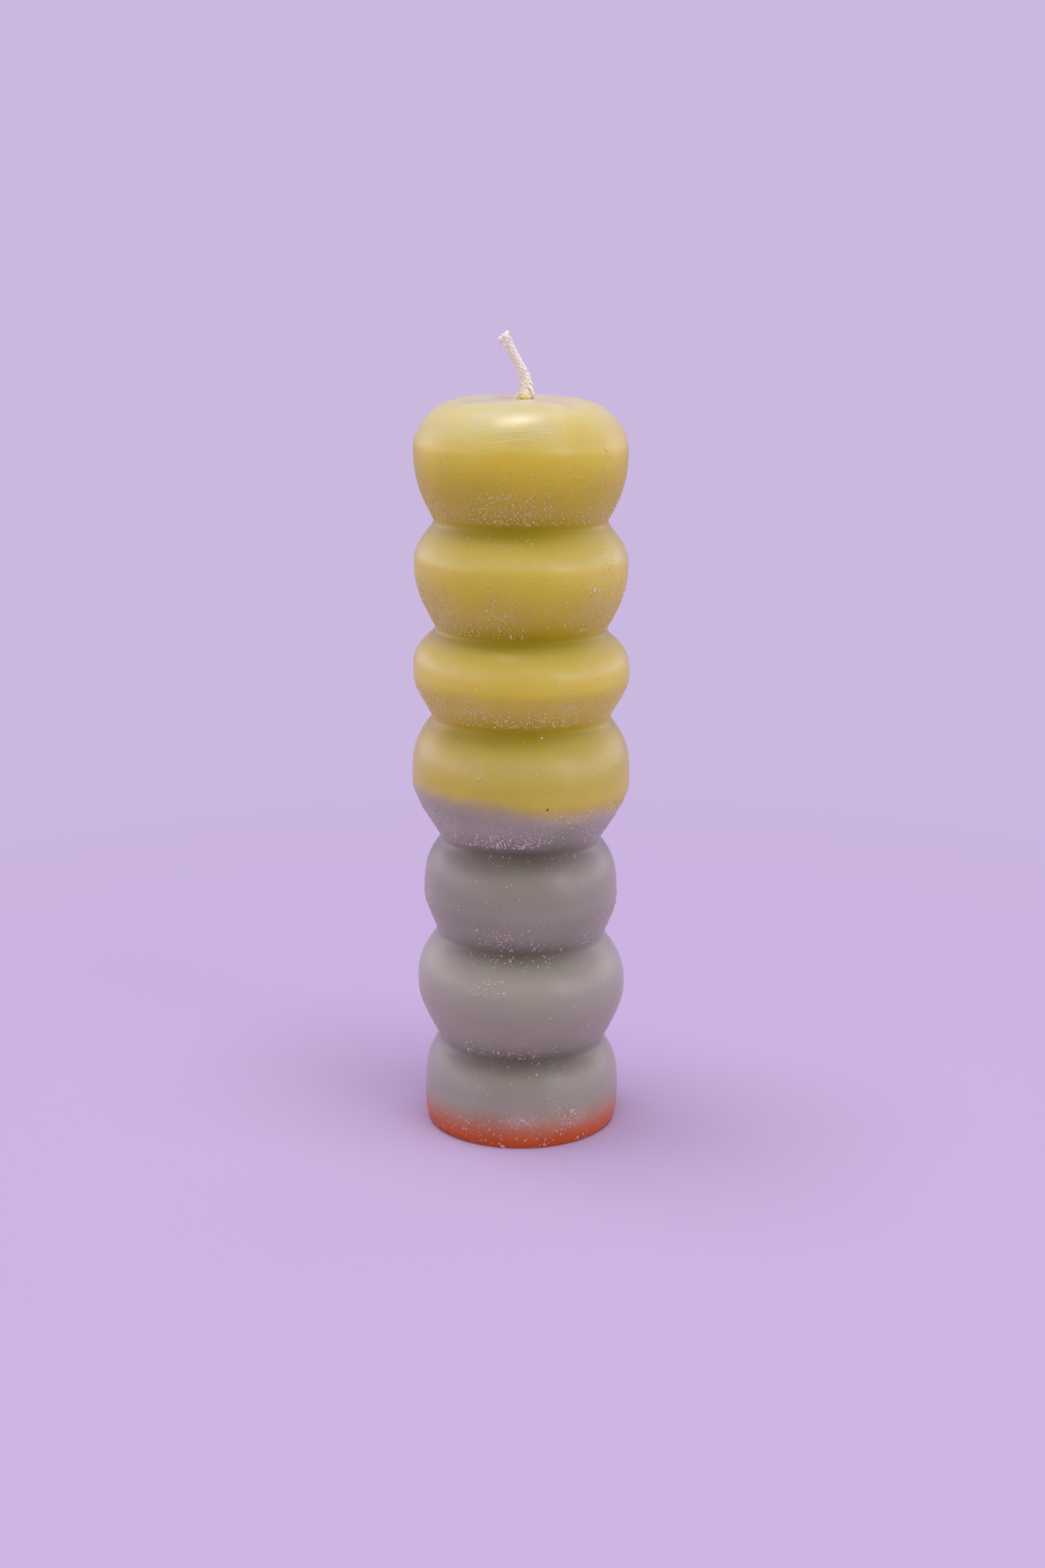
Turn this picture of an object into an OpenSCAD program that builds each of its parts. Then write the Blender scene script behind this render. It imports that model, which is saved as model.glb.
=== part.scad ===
// Blob candle: seven soft blobs of wax, cast in one mould round a cotton wick.
// Millimetres, +Z up. The origin is the middle of the flat foot.
// The blobs are counted from the foot up. Each one has a belly, its widest ring,
// and a crease pinches it off from the blob above.

/* [Blob 1, the foot] */
// Diameter of the flat face that the candle stands on
foot_d = 51.8; // [44:0.1:54]
// Height of the blob, from the table to its crease
blob_1_h = 24.2; // [20:0.1:34]
// Diameter at the belly
blob_1_d = 53.9; // [51:0.1:66]
// Height of the belly above the table
blob_1_belly = 8.2; // [4:0.1:14]
// Fullness of the flank under the belly: 1 is straight, 4 is nearly square
blob_1_under = 2.45; // [1:0.05:4]
// Fullness of the flank over the belly
blob_1_over = 2.85; // [1:0.05:4]
// Diameter of the crease over the blob
crease_1_d = 46.0; // [36:0.1:50]

/* [Blob 2] */
// Height of the blob, from crease to crease
blob_2_h = 30.4; // [22:0.1:40]
// Diameter at the belly
blob_2_d = 57.2; // [51:0.1:66]
// Height of the belly above the lower crease
blob_2_belly = 16.1; // [6:0.1:18]
// Fullness of the flank under the belly
blob_2_under = 1.55; // [1:0.05:4]
// Fullness of the flank over the belly
blob_2_over = 2.0; // [1:0.05:4]
// Diameter of the crease over the blob
crease_2_d = 46.3; // [36:0.1:50]

/* [Blob 3] */
// Height of the blob, from crease to crease
blob_3_h = 27.2; // [22:0.1:40]
// Diameter at the belly
blob_3_d = 52.9; // [51:0.1:66]
// Height of the belly above the lower crease
blob_3_belly = 10.9; // [6:0.1:18]
// Fullness of the flank under the belly
blob_3_under = 1.2; // [1:0.05:4]
// Fullness of the flank over the belly
blob_3_over = 3.0; // [1:0.05:4]
// Diameter of the crease over the blob
crease_3_d = 44.0; // [36:0.1:50]

/* [Blob 4] */
// Height of the blob, from crease to crease
blob_4_h = 33.8; // [22:0.1:40]
// Diameter at the belly
blob_4_d = 59.4; // [51:0.1:66]
// Height of the belly above the lower crease
blob_4_belly = 16.1; // [6:0.1:18]
// Fullness of the flank under the belly
blob_4_under = 1.3; // [1:0.05:4]
// Fullness of the flank over the belly
blob_4_over = 2.8; // [1:0.05:4]
// Diameter of the crease over the blob
crease_4_d = 48.8; // [36:0.1:50]

/* [Blob 5] */
// Height of the blob, from crease to crease
blob_5_h = 23.9; // [22:0.1:40]
// Diameter at the belly
blob_5_d = 58.8; // [51:0.1:66]
// Height of the belly above the lower crease
blob_5_belly = 11.8; // [6:0.1:18]
// Fullness of the flank under the belly
blob_5_under = 1.25; // [1:0.05:4]
// Fullness of the flank over the belly
blob_5_over = 2.45; // [1:0.05:4]
// Diameter of the crease over the blob
crease_5_d = 46.5; // [36:0.1:50]

/* [Blob 6] */
// Height of the blob, from crease to crease
blob_6_h = 28.8; // [22:0.1:40]
// Diameter at the belly
blob_6_d = 57.4; // [51:0.1:66]
// Height of the belly above the lower crease
blob_6_belly = 17.5; // [6:0.1:20]
// Fullness of the flank under the belly
blob_6_under = 1.8; // [1:0.05:4]
// Fullness of the flank over the belly
blob_6_over = 1.7; // [1:0.05:4]
// Diameter of the crease over the blob
crease_6_d = 46.8; // [36:0.1:50]

/* [Blob 7, the top] */
// Height of the blob, from its crease to the flat top
blob_7_h = 32.4; // [26:0.1:42]
// Diameter at the belly
blob_7_d = 56.8; // [51:0.1:66]
// Height of the belly above the crease
blob_7_belly = 19.0; // [8:0.1:22]
// Fullness of the flank under the belly
blob_7_under = 2.25; // [1:0.05:4]
// How long the shoulder stays upright over the belly: 1 slopes at once, 3 stands
shoulder = 1.3; // [1:0.1:3]
// Flatness of the top: 2 is a dome, 6 is nearly a table
top_flatness = 4.75; // [2:0.05:7]
// Diameter of the shallow dish where the wax sank round the wick as it set
dish_d = 26; // [16:0.5:32]
// Depth of the dish
dish_depth = 0.8; // [0.2:0.1:2]

/* [Creases and bellies] */
// Softness of the bottom of each crease: larger is rounder
crease_soft = 1.2; // [0.3:0.1:2]
// Softness of each belly
belly_soft = 1.6; // [0.4:0.1:3]

/* [Wick] */
// Thickness of the braided cotton wick
wick_d = 2.6; // [2:0.1:5]
// Distance of the wick from the candle's axis, because it was set by hand
wick_off = 1.2; // [0:0.1:4]
// Length of wick that stands straight up out of the wax
wick_rise = 3.8; // [2:0.1:12]
// Radius of the bend
bend_r = 8.5; // [4:0.1:20]
// Lean of the wick past the bend, in degrees
bend_angle = 29; // [5:1:70]
// Length of wick past the bend
tip_l = 9.8; // [6:0.1:20]
// How much thicker the wick is past the bend, where its strands are looser
loosening = 0.1; // [0.05:0.05:0.5]
// How much thicker still the open strands are at the cut end
tip_spread = 0.8; // [0:0.1:2]
// Length over which the strands open
tip_flare = 3.4; // [1:0.1:5]
// Slant of the scissor cut, in degrees
cut_angle = 11; // [0:1:30]

/* [Wax collar at the wick] */
// Height to which the wax climbs the wick
collar_h = 1.3; // [0.5:0.1:1.8]
// Width of the collar's foot round the wick
collar_w = 1.2; // [0.5:0.1:3]
// Thickness of the collar's thin upper lip
collar_lip = 0.2; // [0.1:0.05:0.4]

/* [Hidden] */
$fn = 96;

// The wax is cast round the wick, so nothing lies between them
wick_gap = 0;
// Points on each flank, on the shoulder and across the dish
flank_steps = 11;
shoulder_steps = 12;
dish_steps = 8;
// A cutting tool reaches this far past what it cuts
past = 1;
// The looser strands start this far back over the bend
lap = 0.3;

yellow = "#d9b85e";
grey = "#8f8481";
orange = "#b85a3c";
cotton = "#efe2d4";

blob_h = [blob_1_h, blob_2_h, blob_3_h, blob_4_h, blob_5_h, blob_6_h, blob_7_h];
belly_d = [blob_1_d, blob_2_d, blob_3_d, blob_4_d, blob_5_d, blob_6_d, blob_7_d];
belly_rise = [
  blob_1_belly, blob_2_belly, blob_3_belly, blob_4_belly, blob_5_belly, blob_6_belly, blob_7_belly
];
under = [
  blob_1_under, blob_2_under, blob_3_under, blob_4_under, blob_5_under, blob_6_under, blob_7_under
];
over = [blob_1_over, blob_2_over, blob_3_over, blob_4_over, blob_5_over, blob_6_over];
// Ring under each blob: the foot's edge, then the creases
ring_d = [foot_d, crease_1_d, crease_2_d, crease_3_d, crease_4_d, crease_5_d, crease_6_d];

last = len(blob_h) - 1;
// Height of the ring under blob i
function ring_z(i) = i == 0 ? 0 : ring_z(i - 1) + blob_h[i - 1];
// Height of the belly of blob i
function belly_z(i) = ring_z(i) + belly_rise[i];

top_z = ring_z(last) + blob_h[last];
dish_z = top_z - dish_depth;
wick_r = wick_d / 2;
channel_r = wick_r + wick_gap;
loose_r = wick_r + loosening / 2;
bend_z = dish_z + wick_rise;

// The last pour is yellow down to the fourth belly, and the first one left an orange foot
yellow_from = belly_z(3);
orange_to = belly_z(0);

// Share of the way l that lies behind at distance d. It sets out slowly over a length of
// about soft, so that the curve drawn with it turns there instead of breaking.
function share(d, l, soft) = (sqrt(d * d + soft * soft) - soft) / (sqrt(l * l + soft * soft) - soft);

// Radius on a flank of length l, at distance d from its ring: soft at the ring, then
// bulging with its fullness, and soft again at the belly
function flank_r(belly_r, ring_r, d, l, ring_soft, fullness) =
  let (left = l * (1 - share(d, l, ring_soft)))
  belly_r - (belly_r - ring_r) * pow(share(left, l, belly_soft), fullness);

// Distance of step k along a flank, as a share of it: the steps crowd together at the ring
// and at the belly, where the curve turns most
function crowd(k) = (1 - cos(180 * k / flank_steps)) / 2;

// Points from the ring under blob i up to its belly, which the next list starts with
function under_points(i) = [
  for (k = [0 : flank_steps - 1])
    let (l = belly_rise[i], d = l * crowd(k), ring_soft = i == 0 ? 0 : crease_soft)
    [flank_r(belly_d[i] / 2, ring_d[i] / 2, d, l, ring_soft, under[i]), ring_z(i) + d]
];

// Points from the belly of blob i up to the crease, which the next blob starts with
function over_points(i) = [
  for (k = [flank_steps : -1 : 1])
    let (l = blob_h[i] - belly_rise[i], d = l * crowd(k))
    [flank_r(belly_d[i] / 2, ring_d[i + 1] / 2, d, l, crease_soft, over[i]), ring_z(i + 1) - d]
];

// The distance d at which share(d, l, soft) is w
function distance(w, l, soft) = sqrt(pow(w * (sqrt(l * l + soft * soft) - soft) + soft, 2) - soft * soft);

// Height of the top at radius r, before the wax sank
function crown_z(r) =
  let (w = pow(1 - pow(2 * r / belly_d[last], top_flatness), 1 / shoulder))
  belly_z(last) + distance(w, top_z - belly_z(last), belly_soft);

// How far the wax sank at radius r: all of it in the middle, running out level at the rim
function sink(r) = r < dish_d / 2 ? dish_depth * pow(1 - pow(2 * r / dish_d, 2), 2) : 0;

// Points from the top belly over the shoulder to the dish, and across it to the axis
function crown_points() = [
  for (k = [0 : shoulder_steps - 1])
    let (r = belly_d[last] / 2 * pow(cos(90 * k / shoulder_steps), 2 / top_flatness))
    if (r > dish_d / 2) [r, crown_z(r)],
  for (k = [dish_steps : -1 : 0])
    let (r = dish_d / 2 * k / dish_steps)
    [r, crown_z(r) - sink(r)]
];

// Half the section of the wax, from the middle of the foot round to the middle of the top
function wax_outline() = concat(
  [[0, 0]],
  [for (i = [0 : last]) each concat(under_points(i), i < last ? over_points(i) : [])],
  crown_points()
);

// The thin ring of wax that climbs the wick, and its root in the dish
module collar() {
  lip_r = channel_r + collar_lip;
  root = [[0, dish_z - dish_depth], [lip_r + collar_w, dish_z - dish_depth]];
  arc = [for (a = [0 : 15 : 90]) [lip_r + collar_w * (1 - sin(a)), dish_z + collar_h * (1 - cos(a))]];
  translate([wick_off, 0, 0]) rotate_extrude() polygon(concat(root, arc, [[0, dish_z + collar_h]]));
}

// The whole casting, with the channel that it closed round the wick
module casting() {
  difference() {
    union() {
      rotate_extrude() polygon(wax_outline());
      collar();
    }
    translate([wick_off, 0, -past]) cylinder(h = dish_z + collar_h + 2 * past, r = channel_r);
  }
}

// One layer of colour of the casting, between two heights
module layer(from, to, shade) {
  reach = max(belly_d) / 2 + past;
  color(shade)
    intersection() {
      casting();
      translate([-reach, -reach, from]) cube([2 * reach, 2 * reach, to - from]);
    }
}

// One solid of wax: the pours melted together, and only their colours differ
module wax_body() {
  layer(-past, orange_to, orange);
  layer(orange_to, yellow_from, grey);
  layer(yellow_from, top_z + collar_h + past, yellow);
}

// The end of the wick past the bend, drawn upright: a round cord that opens at a slanted cut
module wick_tip() {
  reach = 2 * (loose_r + tip_spread + past);
  difference() {
    union() {
      translate([0, 0, -lap]) cylinder(h = tip_l - tip_flare + lap, r = loose_r);
      translate([0, 0, tip_l - tip_flare])
        cylinder(h = 2 * tip_flare, r1 = loose_r, r2 = loose_r + tip_spread);
    }
    translate([0, 0, tip_l])
      rotate([0, -cut_angle, 0])
        translate([-reach, -reach, 0])
          cube([2 * reach, 2 * reach, 2 * reach]);
  }
}

// The cotton wick: flush with the foot, up through the wax, out of the dish and bent over
module wick() {
  color(cotton) {
    translate([wick_off, 0, 0]) {
      cylinder(h = bend_z, r = wick_r);
      translate([-bend_r, 0, bend_z]) {
        rotate([90, 0, 0]) rotate_extrude(angle = bend_angle) translate([bend_r, 0]) circle(r = wick_r);
        rotate([0, -bend_angle, 0]) translate([bend_r, 0, 0]) wick_tip();
      }
    }
  }
}

wax_body();
wick();
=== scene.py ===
# %% [markdown]
# # A blob candle in three colours of wax
#
# The real object is a pillar candle of seven soft blobs, cast in one mould round a cotton wick.
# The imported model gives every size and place, so the first step loads it and keeps its box.
# Lengths are in metres, +Z is up, and the candle stands on the plane z = 0.

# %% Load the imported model
import math
import random
from itertools import combinations

import bpy
import numpy as np
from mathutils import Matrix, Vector, noise
from mathutils.bvhtree import BVHTree


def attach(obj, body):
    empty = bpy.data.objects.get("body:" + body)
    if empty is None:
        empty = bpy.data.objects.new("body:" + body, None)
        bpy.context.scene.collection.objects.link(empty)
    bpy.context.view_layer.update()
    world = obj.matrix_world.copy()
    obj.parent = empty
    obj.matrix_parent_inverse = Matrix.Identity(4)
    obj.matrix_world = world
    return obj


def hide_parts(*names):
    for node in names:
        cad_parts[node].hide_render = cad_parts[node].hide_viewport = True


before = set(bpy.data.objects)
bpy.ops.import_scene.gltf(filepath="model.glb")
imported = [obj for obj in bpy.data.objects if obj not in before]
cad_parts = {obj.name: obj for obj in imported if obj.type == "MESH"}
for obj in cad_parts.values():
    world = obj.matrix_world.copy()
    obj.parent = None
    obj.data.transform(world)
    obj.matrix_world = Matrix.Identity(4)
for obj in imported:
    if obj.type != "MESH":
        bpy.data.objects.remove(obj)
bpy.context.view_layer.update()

MM = 0.001

# %% [markdown]
# ## Camera
#
# The picture was taken with a normal lens, from a little above the candle's top, looking
# slightly down. A camera could be placed by eye until the picture looks right, but a camera
# that is worked out from the foot's curve and the top's curve also gets the perspective of
# the creases right, so these numbers come from such a fit.

# %% Camera
LENS = 50
FILM_WIDTH = 36
CAMERA_PLACE = (0.4 * MM, -578 * MM, 241.2 * MM)
LOOK_DOWN = 14.1

camera_data = bpy.data.cameras.new("camera")
camera_data.lens = LENS
camera_data.sensor_width = FILM_WIDTH
camera = bpy.data.objects.new("camera", camera_data)
camera.location = CAMERA_PLACE
camera.rotation_euler = (math.radians(90 - LOOK_DOWN), 0, 0)
scene = bpy.context.scene
scene.collection.objects.link(camera)
scene.camera = camera
scene.view_settings.view_transform = "Standard"
print("camera", LENS, "mm, looking down", LOOK_DOWN, "degrees")

# %% [markdown]
# ## Helpers for shader nodes
#
# A finish is a graph of nodes. Building it by hand in the editor is good for learning, but in
# a script a few small helpers keep it readable. They add a node and fill its inputs, mix two
# colours, read how far a value is on its way between two limits, and add or multiply numbers.

# %% Node helpers
def fill(node, inputs):
    """Gives inputs of a node, by name or number, a value or the socket that feeds them."""
    for name, value in inputs.items():
        if isinstance(value, bpy.types.NodeSocket):
            node.id_data.links.new(value, node.inputs[name])
        else:
            node.inputs[name].default_value = value


def put(tree, kind, inputs=None, **settings):
    """Adds a node with its settings and inputs, and gives its outputs."""
    node = tree.nodes.new("ShaderNode" + kind)
    for name, value in settings.items():
        setattr(node, name, value)
    fill(node, inputs or {})
    return node.outputs


def mix(tree, share, first, second, how="MIX"):
    """Mixes two colours: share 0 gives the first one, share 1 the second."""
    inputs = {0: share, 6: first, 7: second}
    return put(tree, "Mix", inputs, data_type="RGBA", blend_type=how)[2]


def way(tree, value, start, end, low=0.0, high=1.0):
    """A soft step: low while value is at start, high once it is at end."""
    inputs = {"Value": value, "From Min": start, "From Max": end, "To Min": low, "To Max": high}
    return put(tree, "MapRange", inputs, interpolation_type="SMOOTHSTEP")["Result"]


def sums(tree, operation, *values):
    """One sum after another over numbers and sockets, from the first to the last."""
    total = values[0]
    for value in values[1:]:
        total = put(tree, "Math", {0: total, 1: value}, operation=operation)[0]
    return total


def plus(tree, *values):
    """All the values added up."""
    return sums(tree, "ADD", *values)


def times(tree, *values):
    """All the values multiplied."""
    return sums(tree, "MULTIPLY", *values)


def clouds(tree, point, scale, detail):
    """Noise from 0 to 1 over the surface: the greater the scale, the finer it is."""
    return put(tree, "TexNoise", {"Vector": point, "Scale": scale, "Detail": detail})[0]


def bumps(tree, height, strength, distance):
    """Turns a height into a relief that the light shows."""
    return put(tree, "Bump", {"Height": height, "Strength": strength, "Distance": distance})[0]


print("helpers: fill, put, mix, way, sums, plus, times, clouds and bumps")

# %% [markdown]
# Colours are easiest to judge as a screen shows them, but shaders reckon with light, so one
# helper converts them. The other two start a node group and a material: both could be added
# by hand in the editor, and here they come out the same each time.

# %% Colours, groups and materials
def paint(red, green, blue):
    """A colour as a screen shows it, from 0 to 255, as the light values that shaders use."""
    def light(level):
        share = level / 255
        return share / 12.92 if share <= 0.04045 else ((share + 0.055) / 1.055) ** 2.4

    return (light(red), light(green), light(blue), 1.0)


def new_group(name, inputs, outputs):
    """A shader node group with named inputs and outputs. Gives the group, its inputs and its exit."""
    group = bpy.data.node_groups.new(name, "ShaderNodeTree")
    for in_out, sockets in (("INPUT", inputs), ("OUTPUT", outputs)):
        for socket, kind in sockets.items():
            group.interface.new_socket(socket, in_out=in_out, socket_type="NodeSocket" + kind)
    entry = group.nodes.new("NodeGroupInput")
    leave = group.nodes.new("NodeGroupOutput")
    print("node group", name)
    return group, entry.outputs, leave


def use(tree, group, inputs):
    """Places a node group in a material and gives its outputs."""
    return put(tree, "Group", inputs, node_tree=group)


def new_material(name):
    """An empty material: the material, its tree, its shader and its exit."""
    material = bpy.data.materials.new(name)
    material.use_nodes = True
    tree = material.node_tree
    tree.nodes.clear()
    shader = tree.nodes.new("ShaderNodeBsdfPrincipled")
    leave = tree.nodes.new("ShaderNodeOutputMaterial")
    fill(leave, {"Surface": shader.outputs[0]})
    print("material", name)
    return material, tree, shader, leave


print("middle grey in light values:", [round(level, 3) for level in paint(128, 128, 128)])

# %% [markdown]
# ## Stage
#
# The candle stands on lilac paper that sweeps up behind it, so no horizon shows. A curved
# sheet would do that from one side only. A wide round floor that fades into a plain lilac
# world, seen by the camera alone, does it from every side. The floor has an opening under the
# foot, because the foot covers it and a view from below then still gets some light.

# %% Floor
FLOOR_HOLE_R = 25.5 * MM
FLOOR_RINGS = [FLOOR_HOLE_R, 0.1, 0.4, 1.2, 4.0]
FLOOR_SIDES = 96

floor_points = [
    (r * math.cos(turn), r * math.sin(turn), 0.0)
    for r in FLOOR_RINGS
    for turn in np.linspace(0, 2 * math.pi, FLOOR_SIDES, endpoint=False)
]
floor_faces = []
for inner in range(0, len(floor_points) - FLOOR_SIDES, FLOOR_SIDES):
    for side in range(FLOOR_SIDES):
        after = (side + 1) % FLOOR_SIDES
        outer_ring = inner + FLOOR_SIDES
        floor_faces.append((inner + side, outer_ring + side, outer_ring + after, inner + after))
floor_mesh = bpy.data.meshes.new("floor")
floor_mesh.from_pydata(floor_points, [], floor_faces)
floor = bpy.data.objects.new("floor", floor_mesh)
scene.collection.objects.link(floor)
print("floor of", len(floor_faces), "faces")

# %% [markdown]
# The paper is matt, with a faint grain. Away from the candle it goes over into the backdrop's
# own glow, so that floor and backdrop are one colour there. From below it is clear, or the
# foot could not be looked at.

# %% Paper
PAPER = paint(196, 177, 215)
BACKDROP = paint(203, 184, 223)
PAPER_GRAIN = 0.04
FADE_FROM = 0.12
FADE_TO = 0.5

paper, tree, shader, leave = new_material("paper")
point = put(tree, "TexCoord")["Object"]
grain = clouds(tree, point, 900.0, 3.0)
tone = mix(tree, PAPER_GRAIN, PAPER, grain, "MULTIPLY")
fill(shader, {"Base Color": tone, "Roughness": 0.9, "Specular IOR Level": 0.1})
flat = put(tree, "Emission", {"Color": BACKDROP, "Strength": 1.0})[0]
distance = put(tree, "VectorMath", {0: point}, operation="LENGTH")["Value"]
seen = put(tree, "LightPath")["Is Camera Ray"]
far = times(tree, way(tree, distance, FADE_FROM, FADE_TO), seen)
sheet = put(tree, "MixShader", {0: far, 1: shader.outputs[0], 2: flat})[0]
below = put(tree, "NewGeometry")["Backfacing"]
clear = put(tree, "BsdfTransparent")[0]
fill(leave, {"Surface": put(tree, "MixShader", {0: below, 1: sheet, 2: clear})[0]})
floor.data.materials.append(paper)
print("paper of", len(tree.nodes), "nodes")

# %% [markdown]
# ## The room
#
# Most of the light on the candle's sides comes from the room: white walls stand low at the left
# and the right, the lit part of the room in front begins a little higher, and it is dark behind
# the paper. Walls could be modelled, but only their glow counts, so the world has it: two belts
# of light round the candle, each with its own colours for the front, the sides and the back.
# The camera doesn't see the room; it sees the plain backdrop.

# %% World
LOW_BELT = {"front": (0.6, 0.54, 0.44), "sides": (1.52, 1.3, 1.5), "back": (0.46, 0.37, 0.6)}
HIGH_BELT = {"front": (0.9, 0.8, 0.7), "sides": (0.36, 0.26, 0.48), "back": (0.5, 0.4, 0.64)}
CEILING = (0.14, 0.11, 0.18, 1.0)
# How far up they go over into each other, as the height of a direction: 0 is level, 1 straight up
HIGH_BELT_FROM = (0.22, 0.4)
CEILING_FROM = (0.58, 0.76)

world = bpy.data.worlds.new("room")
world.use_nodes = True
tree = world.node_tree
tree.nodes.clear()
towards = put(tree, "SeparateXYZ", {"Vector": put(tree, "TexCoord")["Generated"]})
behind = way(tree, towards["Y"], -0.3, 0.3)
beside = way(tree, put(tree, "Math", {0: towards["X"]}, operation="ABSOLUTE")[0], 0.5, 0.8)
belts = []
for belt in (LOW_BELT, HIGH_BELT):
    ends = mix(tree, behind, (*belt["front"], 1.0), (*belt["back"], 1.0))
    belts.append(mix(tree, beside, ends, (*belt["sides"], 1.0)))
room = mix(tree, way(tree, towards["Z"], *HIGH_BELT_FROM), *belts)
room = mix(tree, way(tree, towards["Z"], *CEILING_FROM), room, CEILING)
seen = put(tree, "LightPath")["Is Camera Ray"]
light = put(tree, "Background", {"Color": mix(tree, seen, room, BACKDROP), "Strength": 1.0})
put(tree, "OutputWorld", {"Surface": light[0]})
scene.world = world
print("room light of", len(tree.nodes), "nodes")

# %% [markdown]
# ## Lamps
#
# A wide soft lamp hangs overhead, a little towards the camera, and a weak one behind it softens
# its edge. The shine on the candle's shoulder is small, and such a wide lamp would spread it,
# so the wide one only lights, and a small one over the candle only shines. A window on the right
# leaves small slanted shines. Each lamp could be set by eye in watts, but the share of the light
# that it gives on the candle is easier to compare with a picture.

# %% Lamps
CANDLE_MIDDLE = Vector((0, 0, 100 * MM))


def add_lamp(name, place, width, height, share, lights=True, shines=True):
    """A soft lamp that faces the candle. share is the part of full daylight that it gives there."""
    data = bpy.data.lights.new(name, "AREA")
    data.shape = "RECTANGLE"
    data.size = width
    data.size_y = height
    aim = CANDLE_MIDDLE - Vector(place)
    data.energy = share * math.pi**2 * aim.length_squared
    lamp = bpy.data.objects.new(name, data)
    lamp.location = place
    lamp.rotation_euler = aim.to_track_quat("-Z", "Y").to_euler()
    lamp.visible_camera = False
    lamp.visible_diffuse = lights
    lamp.visible_glossy = shines
    scene.collection.objects.link(lamp)
    print("lamp", name, round(data.energy, 2), "W")


add_lamp("lamp_above", (-0.05, -0.1, 2.2), 2.0, 0.95, 0.9, shines=False)
add_lamp("lamp_above_back", (-0.05, 0.72, 2.07), 1.6, 0.42, 0.05)
add_lamp("lamp_shine", (-0.05, -0.05, 1.2), 0.2, 0.5, 0.36, lights=False)
add_lamp("lamp_window", (0.91, -0.83, 0.49), 0.3, 0.3, 0.06)

# %% [markdown]
# ## Outline of the wax
#
# The casting is round, so half of its section says nearly everything. That section could be
# drawn again here, but then two drawings would have to agree. Instead it is read from the
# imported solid, whose points lie in rings: each ring's radius and height is one point of the
# outline. A smooth curve through those points then gives as many rings as the finish needs.

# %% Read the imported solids
def packed_points(node):
    """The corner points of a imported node, one row each."""
    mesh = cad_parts[node].data
    flat_list = np.empty(len(mesh.vertices) * 3)
    mesh.vertices.foreach_get("co", flat_list)
    return flat_list.reshape(-1, 3)


wax_points = packed_points("wax_body")
wick_points = packed_points("wick")
wick_foot = wick_points[wick_points[:, 2] < 0.01 * MM]
wick_x = (wick_foot[:, 0].min() + wick_foot[:, 0].max()) / 2
wick_r = (wick_foot[:, 0].max() - wick_foot[:, 0].min()) / 2

# The wick's channel and the collar of wax round it lie within this distance of the axis
WICK_ZONE_R = 4.6 * MM
TOUCHING = 0.05 * MM

reach = np.hypot(wax_points[:, 0], wax_points[:, 1])
outer = np.unique(np.round(np.column_stack([reach, wax_points[:, 2]])[reach > WICK_ZONE_R], 6), axis=0)
rim_r, top_z = outer[outer[:, 1].argmax()]
climbing = outer[outer[:, 0] >= rim_r]
sinking = outer[(outer[:, 0] < rim_r) & (outer[:, 1] > 0.9 * top_z)]
outline = np.vstack([climbing[climbing[:, 1].argsort()], sinking[(-sinking[:, 0]).argsort()]])
far_enough = np.hypot(*np.diff(outline, axis=0, prepend=outline[:1] - 1).T) > TOUCHING
outline = outline[far_enough]
dish_floor = wax_points[(reach < WICK_ZONE_R) & (wax_points[:, 2] > 0.9 * top_z), 2].min()
print("outline of", len(outline), "points")
print("wick at x =", round(wick_x / MM, 2), "mm, radius", round(wick_r / MM, 2), "mm")

# %% [markdown]
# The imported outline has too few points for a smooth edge. A subdivision modifier would round
# the creases off, so a curve is drawn through every point instead, with the slope that its
# neighbours give. Near a crease the rings lie closer, because the wax turns sharply there.

# %% Rings of the flank and the top
STEP = 0.9 * MM
CREASE_STEP = 0.42 * MM
CREASE_REACH = 2.4 * MM
FINE_POINTS = 6000


def along_curve(points, distances):
    """A smooth curve through points, read at distances along it."""
    chord = np.hypot(*np.diff(points, axis=0).T)
    place = np.concatenate([[0], np.cumsum(chord)])
    slope = np.gradient(points, place, axis=0)
    k = np.clip(np.searchsorted(place, distances, side="right") - 1, 0, len(chord) - 1)
    length = chord[k][:, None]
    t = (np.asarray(distances) - place[k])[:, None] / length
    start, end = points[k], points[k + 1]
    bend = t * (1 - t) * length * ((1 - t) * slope[k] - t * slope[k + 1])
    return start + (end - start) * t * t * (3 - 2 * t) + bend


length = np.hypot(*np.diff(outline, axis=0).T).sum()
fine = np.linspace(0, length, FINE_POINTS)
fine_outline = along_curve(outline, fine)
narrow = (outline[1:-1, 0] < outline[:-2, 0]) & (outline[1:-1, 0] <= outline[2:, 0])
crease_z = outline[1:-1, 1][narrow]
nearest = np.min(np.abs(fine_outline[:, 1:2] - crease_z[None, :]), axis=1)
step_here = STEP - (STEP - CREASE_STEP) * np.exp(-((nearest / CREASE_REACH) ** 2))
count = np.concatenate([[0], np.cumsum(np.diff(fine) / step_here[1:])])
ring_total = int(count[-1])
flank = along_curve(outline, np.interp(np.linspace(0, count[-1], ring_total), count, fine))
print(ring_total, "rings, creases at", [round(z / MM, 1) for z in crease_z], "mm")

# %% [markdown]
# ## Handmade unevenness
#
# The mould was made by hand: the creases lie a little lower on the right, and no blob is
# perfectly round. A sculpting brush could do it, but a formula of height and direction gives
# the same result each time. It fades out at the foot, which has to stand flat.

# %% Unevenness formula
FOOT_FADE = 14 * MM
# How far each crease leans down to the right, in degrees, from the foot's up to the top face
LEANS = [1.4, 1.4, 0.5, 0.5, 1.0, 0.5, 0.7]
ROUND_FAULT = 0.13 * MM
HAND_MARKS = 0.07 * MM
HAND_MARK_SIZE = 9 * MM
# How near the axis the marks fade out
CALM_R = 20 * MM
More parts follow.
